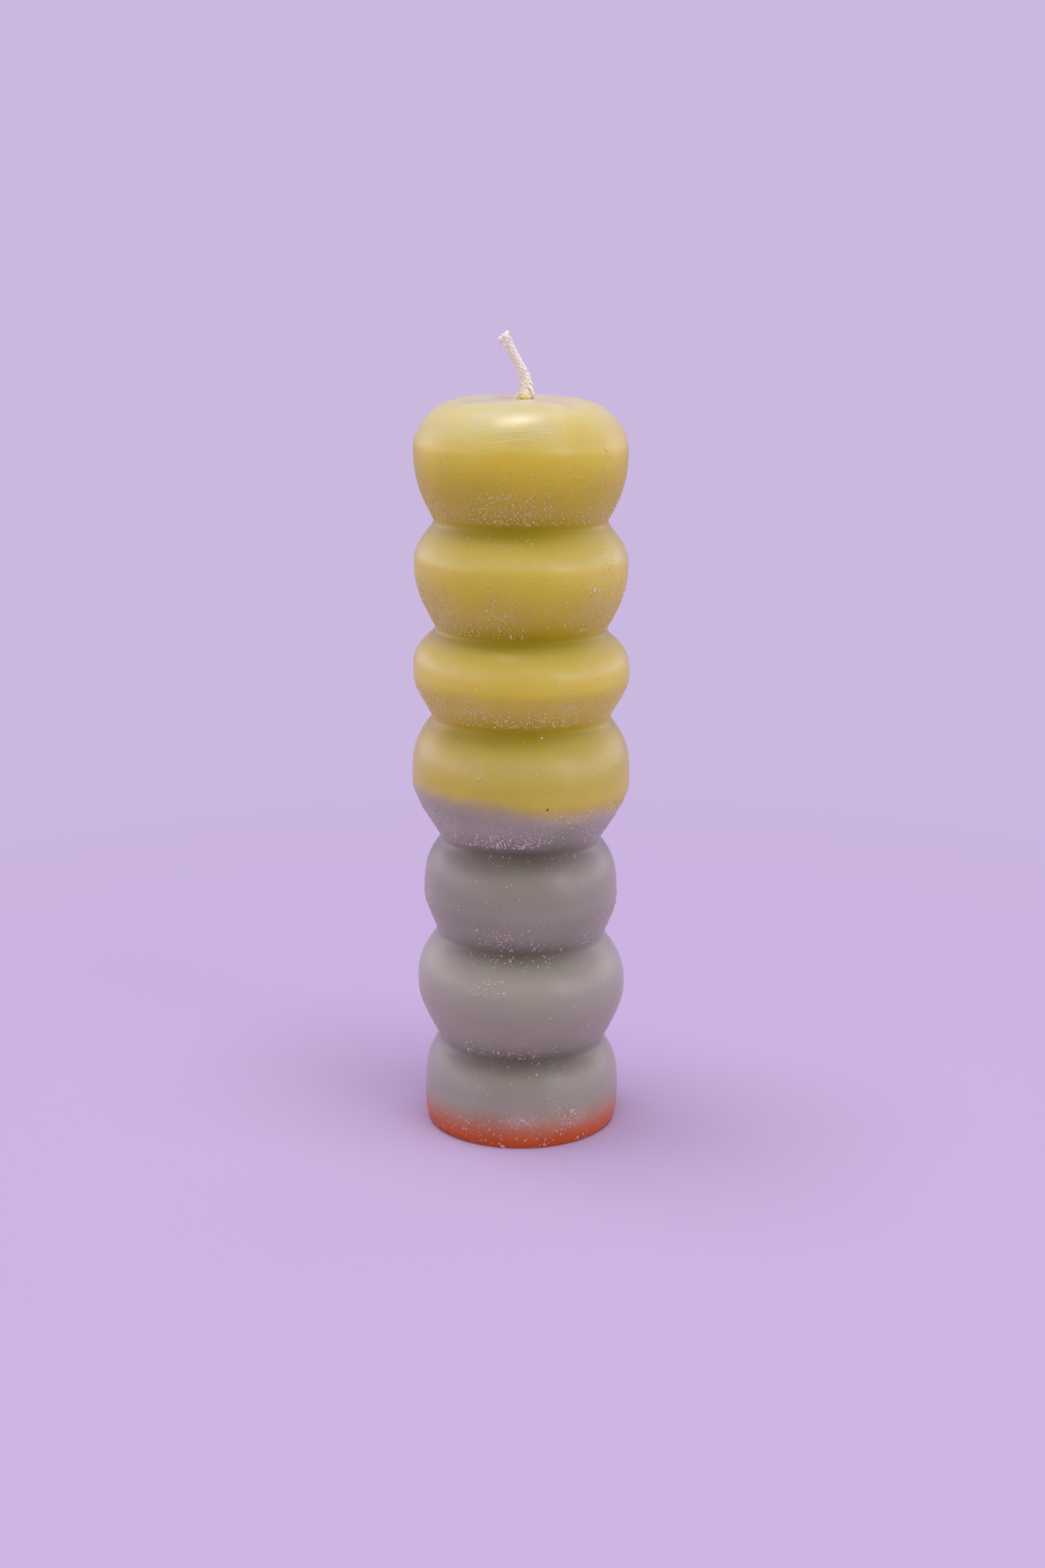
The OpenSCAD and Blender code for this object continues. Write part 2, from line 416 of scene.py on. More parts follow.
# Bulges round the candle, where the first one lies, and how much they twist with height
BULGES = [(2, 0.4, 31.0), (3, 1.9, -44.0), (5, 0.8, 62.0)]


def uneven(points, depth=1.0):
    """Moves points as the handmade mould does. depth fades the marks, but not the lean."""
    x, y, z = points.T
    heights = [0, *crease_z, top_z]
    lean = np.interp(z, heights, [0, *LEANS])
    turn = np.arctan2(y, x)
    r = np.hypot(x, y)
    swell = np.zeros(len(points))
    for waves, phase, twist in BULGES:
        swell += ROUND_FAULT / waves * 2 * np.sin(waves * turn + phase + twist * z)
    marks = np.array([noise.noise(Vector(p) / HAND_MARK_SIZE) for p in points]) * HAND_MARKS * 2
    firm = np.clip(z / FOOT_FADE, 0, 1) * depth * np.clip(r / CALM_R, 0, 1)
    grown = 1 + (swell + marks) * firm / np.maximum(r, MM)
    return np.column_stack([x * grown, y * grown, z - x * np.tan(np.radians(lean))])


print("creases lean by", LEANS[:-1], "degrees, the top face by", LEANS[-1])

# %% [markdown]
# ## Wax as a grid of rings
#
# The wax is a closed sleeve: over the foot, up the flank, across the dish, up the collar that
# climbs the wick, and down the channel again. Lathe tools can turn the flank, but they can't
# close round a wick that stands off the axis. Rings of equal corner count can: each one has
# its own middle, which moves over to the wick on the way in.

# %% Rings from the foot to the channel
COLUMNS = 216
FOOT_ROUNDING = 0.5 * MM
COLLAR_H = 1.25 * MM
COLLAR_W = 1.25 * MM
COLLAR_LIP = 0.2 * MM
DISH_RINGS = 13

turns = np.linspace(0, 2 * math.pi, COLUMNS, endpoint=False)
foot_r = outline[0, 0]
# Dish height at a radius, for the rings that move off the axis
dish = np.vstack([[[0, dish_floor]], sinking[sinking[:, 0].argsort()], [[rim_r, top_z]]])


def ring_points(middle_x, r, z):
    """One ring of corners. z is one height or one for each corner."""
    x = middle_x + r * np.cos(turns)
    y = r * np.sin(turns)
    return np.column_stack([x, y, np.broadcast_to(z, x.shape)])


rings = []
# The foot from the channel outward, then its rounded edge
for share in (0, 0.1, 0.3, 0.5, 0.7, 0.85, 0.95):
    r = wick_r + (foot_r - 2 * FOOT_ROUNDING - wick_r) * share
    rings.append(ring_points(wick_x * (1 - share), r, 0))
for angle in (0, 22.5, 45, 67.5):
    side = foot_r - FOOT_ROUNDING * (1 - math.sin(math.radians(angle)))
    rings.append(ring_points(0, side, FOOT_ROUNDING * (1 - math.cos(math.radians(angle)))))
first_flank = len(rings)
above_foot = flank[flank[:, 1] > 1.2 * FOOT_ROUNDING]
shoulder_ring = int(np.argmax(above_foot[:, 0] <= rim_r))
for r, z in above_foot[:shoulder_ring]:
    rings.append(ring_points(0, r, z))
last_flank = len(rings)
collar_foot_r = wick_r + COLLAR_LIP + COLLAR_W
for k in range(DISH_RINGS + 1):
    share = k / DISH_RINGS
    ring = ring_points(wick_x * share, rim_r + (collar_foot_r + 0.6 * MM - rim_r) * share, 0)
    ring[:, 2] = np.interp(np.hypot(ring[:, 0], ring[:, 1]), *dish.T)
    rings.append(ring)
# The wax climbed highest on the wick's front and hardly at its back
front = 0.5 - 0.5 * np.sin(turns - 0.25)
climb = COLLAR_H * (0.4 + 1.1 * front**6 + 0.12 * np.sin(5 * turns + 1) + 0.08 * np.sin(11 * turns))
for angle in range(0, 91, 9):
    out = COLLAR_LIP + COLLAR_W * (1 - math.sin(math.radians(angle)))
    ring = ring_points(wick_x, wick_r + out, 0)
    ground = np.interp(np.hypot(ring[:, 0], ring[:, 1]), *dish.T)
    ring[:, 2] = ground + climb * (1 - math.cos(math.radians(angle)))
    rings.append(ring)
lip_z = rings[-1][:, 2]
rings.append(ring_points(wick_x, wick_r + COLLAR_LIP / 3, lip_z))
for z in (lip_z - 0.5 * MM, 195 * MM, 150 * MM, 100 * MM, 50 * MM, 1 * MM):
    rings.append(ring_points(wick_x, wick_r, z))
print(len(rings), "rings round the wax")

# %% [markdown]
# Now the unevenness formula moves the rings. Each ring also notes how near it is to a crease,
# which the finish reads later to paint shade into the creases. The bright walls at the left and
# the right reach into the creases there, so the painted shade is weaker at the sides.

# %% Uneven rings and the painted shade of the creases
# How far below and above a crease the painted shade still darkens the wax
CREASE_SHADE_BELOW = 4.2 * MM
CREASE_SHADE_ABOVE = 3.4 * MM

nominal_z = np.array([ring[:, 2].mean() for ring in rings])
over_crease = nominal_z[:, None] - crease_z
crease_shade_reach = np.where(over_crease > 0, CREASE_SHADE_ABOVE, CREASE_SHADE_BELOW)
# Painted shade: how strongly the finish darkens the wax near each crease
painted_crease_shade = np.exp(-((np.abs(over_crease) / crease_shade_reach) ** 1.3)).max(axis=1)
painted_crease_shade[:first_flank] = 0
painted_crease_shade[last_flank:] = 0
# The painted shade is weaker at the sides, where the walls light the creases
side_light = np.clip(1 - np.cos(turns) ** 2, 0.25, 1)
painted_crease_shade = np.outer(painted_crease_shade, side_light).ravel()
grid = np.array(rings)
depth = np.zeros(len(rings))
depth[first_flank:last_flank] = 1.0
depth[last_flank : last_flank + DISH_RINGS] = np.linspace(1, 0, DISH_RINGS)
for number, ring in enumerate(grid):
    grid[number] = uneven(ring, depth[number])
print("wax grid:", grid.shape[0], "rings of", COLUMNS, "corners")

# %% [markdown]
# ## Where the wax is speckled
#
# Bubbles in the mould left two kinds of mark: open pits with a pale rim, and pale grains that
# stand proud. They crowd on the underside of each blob, above its crease. They could be drawn
# as a texture, but the grains show on the candle's edge, so both are real shapes. Each row
# below is one patch: which blob, from and to which angle (0 faces the camera, plus is to the
# right), from and to which height over the crease in millimetres, and how many marks.

# %% Patches of pits and grains
PIT_PATCHES = [
    (7, -42, 40, 0.5, 9, 90), (7, -80, -40, 1, 12, 30), (7, 38, 84, 1, 14, 40), (6, -70, -20, 1, 8, 40),
    (6, 24, 80, 1, 12, 40), (5, -70, 60, 1, 7, 50), (4, -70, 60, 1, 9, 40),
    (7, -65, 62, 5, 17, 46), (7, -34, -11, 6, 11, 15), (7, -15, -4, 11, 15, 6), (7, -9, 2, 7, 11, 8),
    (7, 12, 50, 6, 17, 26), (7, -75, -40, 4, 17, 30), (6, -34, -8, 11, 17, 18), (6, -20, -3, 5, 12, 20),
    (6, 2, 34, 13, 18, 18), (6, -3, 24, 5, 12, 20), (6, -60, -30, 8, 17, 16), (6, 24, 70, 8, 22, 20),
    (5, -62, -12, 6, 10, 14), (5, 8, 54, 6, 10, 12), (4, -70, 70, 4, 12, 16), (3, -60, 60, 3, 12, 10),
    (2, -60, 60, 2, 12, 6), (1, -40, 40, 3, 12, 5),
]
GRAIN_PATCHES = [
    (7, -34, 20, 2, 10, 120), (7, -17, 6, 1.5, 6, 30), (7, -84, -42, 1, 10, 90), (7, 40, 86, 1, 16, 120),
    (7, 20, 60, 1.5, 5, 30), (6, -56, 6, 25, 28, 13), (6, -19, -2, 4, 12, 26), (6, 14, 34, 4, 12, 14),
    (6, -88, -42, 2, 14, 160), (6, -54, -24, 1, 5, 46), (6, -17, 2, 1, 4, 18), (6, 40, 88, 2, 14, 190),
    (6, 44, 60, 14, 25, 14), (5, -86, -26, 1.5, 9, 180), (5, -28, 26, 1.5, 6.5, 150),
    (5, 24, 62, 1.5, 8.5, 95), (5, 60, 88, 3, 9, 24), (5, -50, 50, 11, 22, 9), (4, -82, -44, 1.5, 11, 95),
    (4, -46, -14, 2.0, 6, 75), (4, -20, 12, 2.2, 7.5, 125), (4, 12, 46, 3, 9, 30), (4, 44, 86, 1.5, 8.5, 85),
    (4, 18, 78, 10, 13.5, 130), (4, -60, 60, 22, 33, 14), (3, -46, 46, 23.5, 27, 16),
    (3, 54, 88, 5.5, 15, 55), (3, -88, -68, 9, 17, 22), (3, -30, 16, 0.8, 8, 50), (3, 44, 72, 0.8, 5, 26),
    (3, -60, 60, 8, 22, 12), (2, -36, 30, 27, 30, 22), (2, -25, -9, 20, 24, 20), (2, -76, -54, 2, 8, 12),
    (2, -42, -24, 0.8, 5, 20), (2, -20, 30, 0.5, 3.5, 26), (2, 40, 72, 1, 8, 14), (1, -30, 40, 20, 24, 10),
    (1, -64, 64, 0.6, 9, 40), (1, 22, 36, 6, 12, 32), (1, -2, 4, 7.4, 9, 10),
]
blob_floor = [0.0, *crease_z]
chance = random.Random(7)


def scatter(patches, crowd):
    """Marks in the patches and, turned half round with fresh chance, on the side that faces away."""
    marks = []
    for blob, angle_from, angle_to, low, high, number in patches:
        for half in (0, 180):
            for _ in range(round(number * crowd)):
                angle = chance.uniform(angle_from, angle_to) + half
                # The marks thin out towards the top of their patch
                rise = low + (high - low) * chance.random() ** 1.25
                marks.append((math.radians(angle - 90), blob_floor[blob - 1] + rise * MM))
    return marks


pit_marks = scatter(PIT_PATCHES, 1)
grain_marks = scatter(GRAIN_PATCHES, 1.7)
print(len(pit_marks), "pits and", len(grain_marks), "grains")

# %% [markdown]
# ## Cutting the pits
#
# A pit takes the place of one or a few faces of the grid: those are left out, and a small
# crater is stitched in, with a raised rim, a wall and a floor. Cutting with a boolean tool
# would give the same hole, but hundreds of cuts are slow and leave long thin faces. First
# come the lists that grow with each pit, and a helper that closes the gap between two loops.

# %% Corners of the wax and the seam between two loops
corners = [tuple(p) for p in grid.reshape(-1, 3)]
pale_rim = [0.0] * len(corners)
pit_shade = [0.0] * len(corners)
taken = np.zeros((len(rings), COLUMNS), bool)
ring_z = grid[first_flank:last_flank, 0, 2]
faces = []


def corner(ring, column):
    """Number of a corner of the grid."""
    return ring % len(rings) * COLUMNS + column % COLUMNS


def zip_loops(outside, inside, middle, across, up):
    """Triangles between two loops that go round the same middle."""
    def turn_of(number):
        way_out = Vector(corners[number]) - middle
        return math.atan2(way_out.dot(up), way_out.dot(across)) % (2 * math.pi)

    outside = sorted(outside, key=turn_of)
    inside = sorted(inside, key=turn_of)
    a = b = 0
    found = []
    while a < len(outside) or b < len(inside):
        now_out, now_in = outside[a % len(outside)], inside[b % len(inside)]
        next_out = turn_of(now_out) if a < len(outside) else math.inf
        next_in = turn_of(now_in) if b < len(inside) else math.inf
        if next_out < next_in:
            found.append((now_out, outside[(a + 1) % len(outside)], now_in))
            a += 1
        else:
            found.append((now_in, now_out, inside[(b + 1) % len(inside)]))
            b += 1
    return found


print(len(corners), "corners before the pits")

# %% [markdown]
# One pit is three loops of corners and a floor. Each loop is as wide, as high, as pale and as
# dark with painted shade as its row says, and its corners wobble, so no two pits are alike.

# %% One pit
PIT_SIDES = 8
PIT_DEPTH = 0.15
# Width, lift, paleness and painted shade of the outer edge, the raised rim and the mouth
PIT_LOOPS = [(1.0, 0.0, 0.0, 0.0), (0.78, 0.08, 1.0, 0.0), (0.4, 0.0, 0.6, 0.3)]
# How much of its cell a pit may fill
PIT_ROOM = 0.94


def add_pit(angle, height, wanted):
    """Replaces a block of faces by a crater. Gives False where there is no room for one."""
    row = first_flank + int(np.clip(np.searchsorted(ring_z, height), 2, len(ring_z) - 4))
    column = int(angle % (2 * math.pi) / (2 * math.pi) * COLUMNS)
    at = Vector(corners[corner(row, column)])
    cell_w = (Vector(corners[corner(row, column + 1)]) - at).length
    cell_h = (Vector(corners[corner(row + 1, column)]) - at).length
    wide, tall = (max(1, min(3, math.ceil(wanted / size))) for size in (cell_w, cell_h))
    block = [(row + i, (column + j) % COLUMNS) for i in range(tall) for j in range(wide)]
    if any(taken[cell] for cell in block):
        return False
    for cell in block:
        taken[cell] = True
    low = [corner(row, column + j) for j in range(wide + 1)]
    high = [corner(row + tall, column + j) for j in range(wide + 1)]
    sides = [corner(row + i, column + j) for i in range(1, tall) for j in (0, wide)]
    edge = low + high + sides
    middle = sum((Vector(corners[n]) for n in edge), Vector()) / len(edge)
    across = (Vector(corners[low[-1]]) - Vector(corners[low[0]])).normalized()
    outward = across.cross(Vector(corners[high[0]]) - Vector(corners[low[0]])).normalized()
    up = outward.cross(across)
    size = min(wanted, PIT_ROOM * wide * cell_w, PIT_ROOM * tall * cell_h) / 2
    ragged = [1 + chance.uniform(-0.3, 0.04) for _ in range(PIT_SIDES)]
    loops = []
    for share, lift, rim, shade_in_pit in PIT_LOOPS:
        loops.append([len(corners) + k for k in range(PIT_SIDES)])
        for k in range(PIT_SIDES):
            turn = 2 * math.pi * (k + 0.5) / PIT_SIDES
            wobble = ragged[k] + chance.uniform(-0.05, 0.05)
            out = (across * math.cos(turn) + up * math.sin(turn)) * size * share * wobble
            corners.append(tuple(middle + out + outward * lift * 2 * size))
            pale_rim.append(rim)
            pit_shade.append(shade_in_pit)
    faces.extend(zip_loops(edge, loops[0], middle, across, up))
    for outside, inside in zip(loops, loops[1:]):
        for k in range(PIT_SIDES):
            after = (k + 1) % PIT_SIDES
            faces.append((outside[k], outside[after], inside[after], inside[k]))
    corners.append(tuple(middle - outward * PIT_DEPTH * 2 * size))
    pale_rim.append(0.0)
    # The floor of the pit gets the full painted shade
    pit_shade.append(1.0)
    mouth, bottom = loops[-1], len(corners) - 1
    faces.extend((mouth[k], mouth[(k + 1) % PIT_SIDES], bottom) for k in range(PIT_SIDES))
    return True


print("a pit has", len(PIT_LOOPS), "loops of", PIT_SIDES, "corners")

# %% [markdown]
# The pits go in first, each where its cell is still free. The cells that are left over then
# become plain faces, so the wax ends up as one closed skin.

# %% Cut the pits and close the rest
PIT_SIZES = (0.3 * MM, 0.95 * MM)

cut = sum(add_pit(angle, z, chance.triangular(*PIT_SIZES, PIT_SIZES[0])) for angle, z in pit_marks)
for ring in range(len(rings)):
    for column in range(COLUMNS):
        if not taken[ring, column]:
            steps = ((0, 0), (0, 1), (1, 1), (1, 0))
            faces.append(tuple(corner(ring + up, column + along) for up, along in steps))
print(cut, "pits cut,", len(faces), "faces")

# %% [markdown]
# ## Frost
#
# Between the grains the wax is also frosted with specks too fine to model. How thick the
# frost lies is worked out for each corner here, from the same patches, and the finish reads
# it. Painting it by hand would do too, but then it would not follow the patches.

# %% Frost over the corners
# Where the frost fades: degrees beside a patch, and mm above and below it
FROST_FADE_BESIDE = 12
FROST_FADE_ABOVE = 5
FROST_FADE_BELOW = 1.5
FROST_GAIN = 1.6


def frost_at(points):
    """How thickly the frost lies at each point: thick inside the patches, none far from them."""
    angle = np.degrees(np.arctan2(points[:, 1], points[:, 0])) + 90
    height = points[:, 2]
    thick = np.zeros(len(points))
    for blob, angle_from, angle_to, low, high, number in GRAIN_PATCHES:
        crowd = number / max((angle_to - angle_from) * (high - low), 1)
        for half in (0, 180):
            middle = (angle_from + angle_to) / 2 + half
            off = np.abs((angle - middle + 180) % 360 - 180) - (angle_to - angle_from) / 2
            over = (height - blob_floor[blob - 1]) / MM
            side = np.clip(1 - off / FROST_FADE_BESIDE, 0, 1)
            top = np.clip(1 - (over - 0.6 * high) / (0.4 * high + FROST_FADE_ABOVE), 0, 1)
            bottom = np.clip((over - low) / FROST_FADE_BELOW + 1, 0, 1)
            thick += crowd * side * (top * bottom)
    return np.clip(thick * FROST_GAIN, 0, 1)


frost_corners = frost_at(np.array(corners))
print("frost on", int((frost_corners > 0).sum()), "of", len(corners), "corners")

# %% [markdown]
# Each piece becomes a mesh that rides on the candle. The wax takes the place of the packed
# wax, and carries four numbers on each corner: pale rim, painted shade of the pit floor, frost
# and painted shade of the creases.

# %% Wax piece
def new_piece(name, points, polygons, material):
    """Makes a smooth mesh that rides on the candle and takes its finish from a slot."""
    mesh = bpy.data.meshes.new(name)
    mesh.from_pydata(points, [], polygons)
    mesh.validate()
    mesh.shade_smooth()
    mesh.materials.append(material)
    piece = bpy.data.objects.new(name, mesh)
    scene.collection.objects.link(piece)
    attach(piece, "root")
    print(name, "has", sum(len(p.vertices) - 2 for p in mesh.polygons), "triangles")
    return piece


def paint_corners(piece, name, values, kind="FLOAT", field="value"):
    """Stores a number or a colour for each corner of a piece, for its finish to read."""
    layer = piece.data.attributes.new(name, kind, "POINT")
    layer.data.foreach_set(field, np.asarray(values, np.float32).ravel())


wax_material, wax_tree, wax_shader, _ = new_material("wax")
wax = new_piece("wax", corners, faces, wax_material)
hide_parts("wax_body")
paint_corners(wax, "pale_rim", pale_rim)
# Painted shade of the pit floors
paint_corners(wax, "pit_shade", pit_shade)
paint_corners(wax, "frost", frost_corners)
# Painted shade of the creases
paint_corners(wax, "painted_crease_shade", np.pad(painted_crease_shade, (0, len(corners) - len(painted_crease_shade))))

# %% [markdown]
# ## Grains
#
# Each grain is a small lump of wax that sits half sunk in the surface. Copies of one lump
# would be lighter, but the eye finds the repeat, so each one gets its own jitter and size.
# The lump is a ball of twenty faces, and a ray towards the axis finds where it sits.

# %% Lumps of wax
wax_skin = BVHTree.FromPolygons([Vector(p) for p in corners], faces)
# In mm: rays start this far from the axis, and crumbs fall from this height
OUTSIDE = 60
OVERHEAD = 230
GOLDEN = (1 + math.sqrt(5)) / 2
LUMP = [
    Vector(p).normalized()
    for a in (-1, 1)
    for b in (-GOLDEN, GOLDEN)
    for p in ((0, a, b), (a, b, 0), (b, 0, a))
]
# Three corners that lie this near each other make a face
LUMP_EDGE = 1.1
LUMP_FACES = []
for i, j, k in combinations(range(len(LUMP)), 3):
    a, b, c = LUMP[i], LUMP[j], LUMP[k]
    if max((a - b).length, (b - c).length, (a - c).length) < LUMP_EDGE:
        outward = (b - a).cross(c - a).dot(a) > 0
        LUMP_FACES.append((i, j, k) if outward else (i, k, j))

grain_corners = []
grain_faces = []
grain_tint = []


def skin_at(angle, height):
    """Place and outward direction on the flank, at an angle round the axis and a height."""
    way_in = Vector((-math.cos(angle), -math.sin(angle), 0))
    start = Vector((0, 0, height)) - way_in * OUTSIDE * MM
    return wax_skin.ray_cast(start, way_in)[:2]


def add_lump(place, outward, size, flat=0.7, stretch=1.0, tint=(0, 0, 0, 0)):
    """One lump, sunk a little into the wax. tint is its own colour, and how much of it shows."""
    across = outward.cross(Vector((0, 0, 1))).normalized()
    up = outward.cross(across)
    lean = chance.uniform(0, math.pi)
    one = across * math.cos(lean) + up * math.sin(lean)
    other = outward.cross(one)
    start = len(grain_corners)
    for p in LUMP:
        bump = chance.uniform(0.75, 1.15) * size / 2
        point = place + (one * p.x * stretch + other * p.y + outward * (p.z * flat + 0.15)) * bump
        # Nothing reaches below the table
        grain_corners.append((point.x, point.y, max(point.z, 0)))
        grain_tint.append(tint)
    grain_faces.extend(tuple(start + n for n in face) for face in LUMP_FACES)


print("a lump has", len(LUMP), "corners and", len(LUMP_FACES), "faces")

# %% [markdown]
# The patches are filled first. Most grains are small and a few are large, and each shows
# more or less of its pale tint, so the wax shines through some of them.

# %% Grains in their patches
PALE = paint(240, 226, 224)
PALE_ON_YELLOW = paint(242, 218, 170)
GRAIN_SIZES = (0.24 * MM, 0.66 * MM)


def tinted(colour, share):
    """A colour and how much of it shows."""
    return (*colour[:3], share)


for angle, height in grain_marks:
    place, outward = skin_at(angle, height)
    if place is not None:
        size = chance.triangular(*GRAIN_SIZES, GRAIN_SIZES[0] * 1.3)
        add_lump(place, outward, size, tint=tinted(PALE, chance.uniform(0.3, 0.9)))
print(len(grain_marks), "grains,", len(grain_faces), "triangles")

# %% [markdown]
# A few larger flakes and crumbs have a known place in the picture, so they are placed one by one.
# Crumbs from the wick's trimming lie on the dish, and at the wick's foot some drops of wax set
# where they ran down its front.

# %% Flakes, crumbs and drops placed one by one
TAN = paint(196, 166, 134)
DARK = paint(70, 52, 40)
OCHRE = paint(246, 228, 190)
CRUMBS = 18
# Angle in degrees, height in mm, size in mm, flatness, stretch, colour and how much of it shows
HAND_PLACED = [
    (42, 152.8, 1.1, 0.35, 1.5, PALE, 0.95), (45, 152.4, 0.8, 0.35, 1.3, PALE, 0.9),
    (39.5, 152.2, 0.7, 0.35, 1.2, PALE, 0.9), (44, 151.6, 0.6, 0.4, 1.0, PALE, 0.8),
    (-7, 53.0, 1.2, 0.7, 1.3, TAN, 0.9), (-5, 53.6, 0.7, 0.7, 1.0, TAN, 0.8),
    (27, 55.4, 1.0, 0.8, 1.2, TAN, 0.9), (27.5, 54.6, 0.6, 0.8, 1.0, TAN, 0.85),
    (13.5, 96.3, 0.62, 0.3, 1.1, DARK, 1.0), (12.5, 114.5, 0.8, 0.6, 1.2, PALE, 0.9),
    (6, 165.4, 0.6, 0.5, 1.3, PALE, 0.8), (-70, 193.0, 0.6, 0.4, 1.6, PALE, 0.7),
    (51, 188.6, 0.9, 0.3, 1.8, PALE, 0.6), (53, 186.6, 0.7, 0.3, 1.5, PALE, 0.6),
    (37, 196.6, 0.55, 0.5, 1.0, PALE, 0.8), (-11, 0.5, 1.5, 0.7, 1.3, PALE, 0.45),
    (-13, 1.3, 0.8, 0.7, 1.2, PALE, 0.35), (14, 0.9, 1.1, 0.5, 1.6, PALE, 0.3),
    (36, 1.2, 1.0, 0.6, 1.5, PALE, 0.35), (40, 1.8, 0.7, 0.6, 1.3, PALE, 0.4),
    (0.5, 8.6, 0.9, 0.35, 1.3, PALE, 0.6), (2, 8.2, 0.7, 0.4, 1.0, PALE, 0.6),
    (31, 9.6, 0.9, 0.4, 1.4, PALE, 0.7), (33, 8.8, 0.7, 0.4, 1.2, PALE, 0.7),
    (16, 38.2, 0.5, 0.6, 1.0, PALE, 0.9), (42, 33.4, 0.6, 0.6, 1.0, PALE, 0.8),
]
for angle, z, size, flat, stretch, colour, share in HAND_PLACED:
    place, outward = skin_at(math.radians(angle - 90), z * MM)
    add_lump(place, outward, size * MM, flat, stretch, tinted(colour, share))
for _ in range(CRUMBS):
    aside = Vector((chance.gauss(-2.7, 0.5), chance.gauss(-0.9, 0.8), OVERHEAD)) * MM
    start = Vector((wick_x, 0, 0)) + aside
    place, outward = wax_skin.ray_cast(start, Vector((0, 0, -1)))[:2]
    size = chance.uniform(0.3, 0.75) * MM
    add_lump(place, outward, size, 0.7, 1.2, tinted(PALE, chance.uniform(0.7, 1.0)))
# Place to the right of the wick's middle, height over the dish and size, in mm
DROPS = [(-0.7, 0.7, 1.5), (-0.2, 0.8, 1.9), (0.3, 0.5, 1.6), (-0.4, 1.4, 1.2), (0.7, 0.3, 1.1)]
for across, rise, size in DROPS:
    place = Vector((wick_x + across * MM, -1.75 * MM, dish_floor + rise * MM))
    add_lump(place, Vector((0, -1, 0.3)).normalized(), size * MM, 0.6, 1.0, tinted(OCHRE, 0.9))

grain_material, grain_tree, grain_shader, _ = new_material("wax_grain")
grains = new_piece("wax_grains", grain_corners, grain_faces, grain_material)
paint_corners(grains, "tint", grain_tint, "FLOAT_COLOR", "color")

# %% [markdown]
# ## Finishes that several materials share
#
# Wax and cotton are both uneven in colour, and both kinds of wax piece need the colours of the
# three pours. Those effects are node groups, built once and placed in each material with its
# own values. A group puts out only colours and masks, and the shader stays in the material.
# The first one clouds a colour: slow and quick noise make it lighter here and darker there.

# %% Cloudy colour
cloudy, entry, leave = new_group(
    "cloudy_colour",
    {"Point": "Vector", "Color": "Color", "Scale": "Float", "Amount": "Float"},
    {"Color": "Color", "Cloud": "Float"},
)
slow = clouds(cloudy, entry["Point"], entry["Scale"], 2.0)
quick = clouds(cloudy, entry["Point"], times(cloudy, entry["Scale"], 11.0), 3.0)
cloud = plus(cloudy, slow, times(cloudy, quick, 0.5))
level = plus(cloudy, times(cloudy, plus(cloudy, cloud, -0.75), entry["Amount"]), 1.0)
fill(leave, {"Color": mix(cloudy, 1.0, entry["Color"], level, "MULTIPLY"), "Cloud": cloud})

# %% [markdown]
# The wax was poured in three colours, one on another while it was still soft, so they run into
# each other without an edge. Three materials would meet in a hard line. One colour that follows
# the height does it better, and noise makes that height wander and fray.

# %% The three pours
YELLOW = paint(217, 198, 24)
GREY = paint(164, 161, 144)
ORANGE = paint(205, 92, 30)
YELLOW_FROM = 94.6 * MM
ORANGE_TO = 6.2 * MM
WANDER = 5 * MM
FRAY = 2.2 * MM
SLANT = 0.1

pours, entry, leave = new_group(
    "three_pours", {"Point": "Vector"}, {"Color": "Color", "Yellow": "Float"}
)
apart = put(pours, "SeparateXYZ", {"Vector": entry["Point"]})
wander = times(pours, plus(pours, clouds(pours, entry["Point"], 70.0, 3.0), -0.5), WANDER)
fray = times(pours, plus(pours, clouds(pours, entry["Point"], 1400.0, 2.0), -0.5), FRAY)
height = plus(pours, apart["Z"], times(pours, apart["X"], SLANT), wander, fray)
yellow_mask = way(pours, height, YELLOW_FROM - 4.2 * MM, YELLOW_FROM + 4 * MM)
calm = plus(pours, apart["Z"], times(pours, wander, 0.3))
orange_mask = way(pours, calm, ORANGE_TO + 6.5 * MM, ORANGE_TO - 5.5 * MM)
body = mix(pours, yellow_mask, GREY, YELLOW)
fill(leave, {"Color": mix(pours, orange_mask, body, ORANGE), "Yellow": yellow_mask})

# %% [markdown]
# Frost is made of specks too small to model. A pattern of cells gives each one a random
# number, and where that number is below the wanted amount the cell gets a soft dot.

# %% Fine specks
specks, entry, leave = new_group(
    "fine_specks", {"Point": "Vector", "Scale": "Float", "Amount": "Float"}, {"Mask": "Float"}
)
cells = put(specks, "TexVoronoi", {"Vector": entry["Point"], "Scale": entry["Scale"]}, feature="F1")
drawn = put(specks, "SeparateColor", {0: cells["Color"]})[0]
kept = sums(specks, "LESS_THAN", drawn, entry["Amount"])
fill(leave, {"Mask": times(specks, kept, way(specks, cells["Distance"], 0.42, 0.2))})

# %% [markdown]
# A stain is a soft flat blot with a ragged edge. It could be painted on an image, but a ball
# that is stretched and pushed about by noise stays sharp from near by and needs no image.

# %% Soft stains
RAGGED = 5 * MM
stain, entry, leave = new_group(
    "soft_stain", {"Point": "Vector", "Middle": "Vector", "Stretch": "Vector"}, {"Mask": "Float"}
)
push = put(stain, "TexNoise", {"Vector": entry["Point"], "Scale": 260.0, "Detail": 3.0})["Color"]
place = push
for operation, value in (
    ("SUBTRACT", (0.5, 0.5, 0.5)), ("MULTIPLY", (RAGGED, RAGGED, RAGGED)), ("ADD", entry["Point"]),
    ("SUBTRACT", entry["Middle"]), ("DIVIDE", entry["Stretch"]),
):
    place = put(stain, "VectorMath", {0: place, 1: value}, operation=operation)[0]
far_off = put(stain, "VectorMath", {0: place}, operation="LENGTH")["Value"]
fill(leave, {"Mask": way(stain, far_off, 1.0, 0.3)})
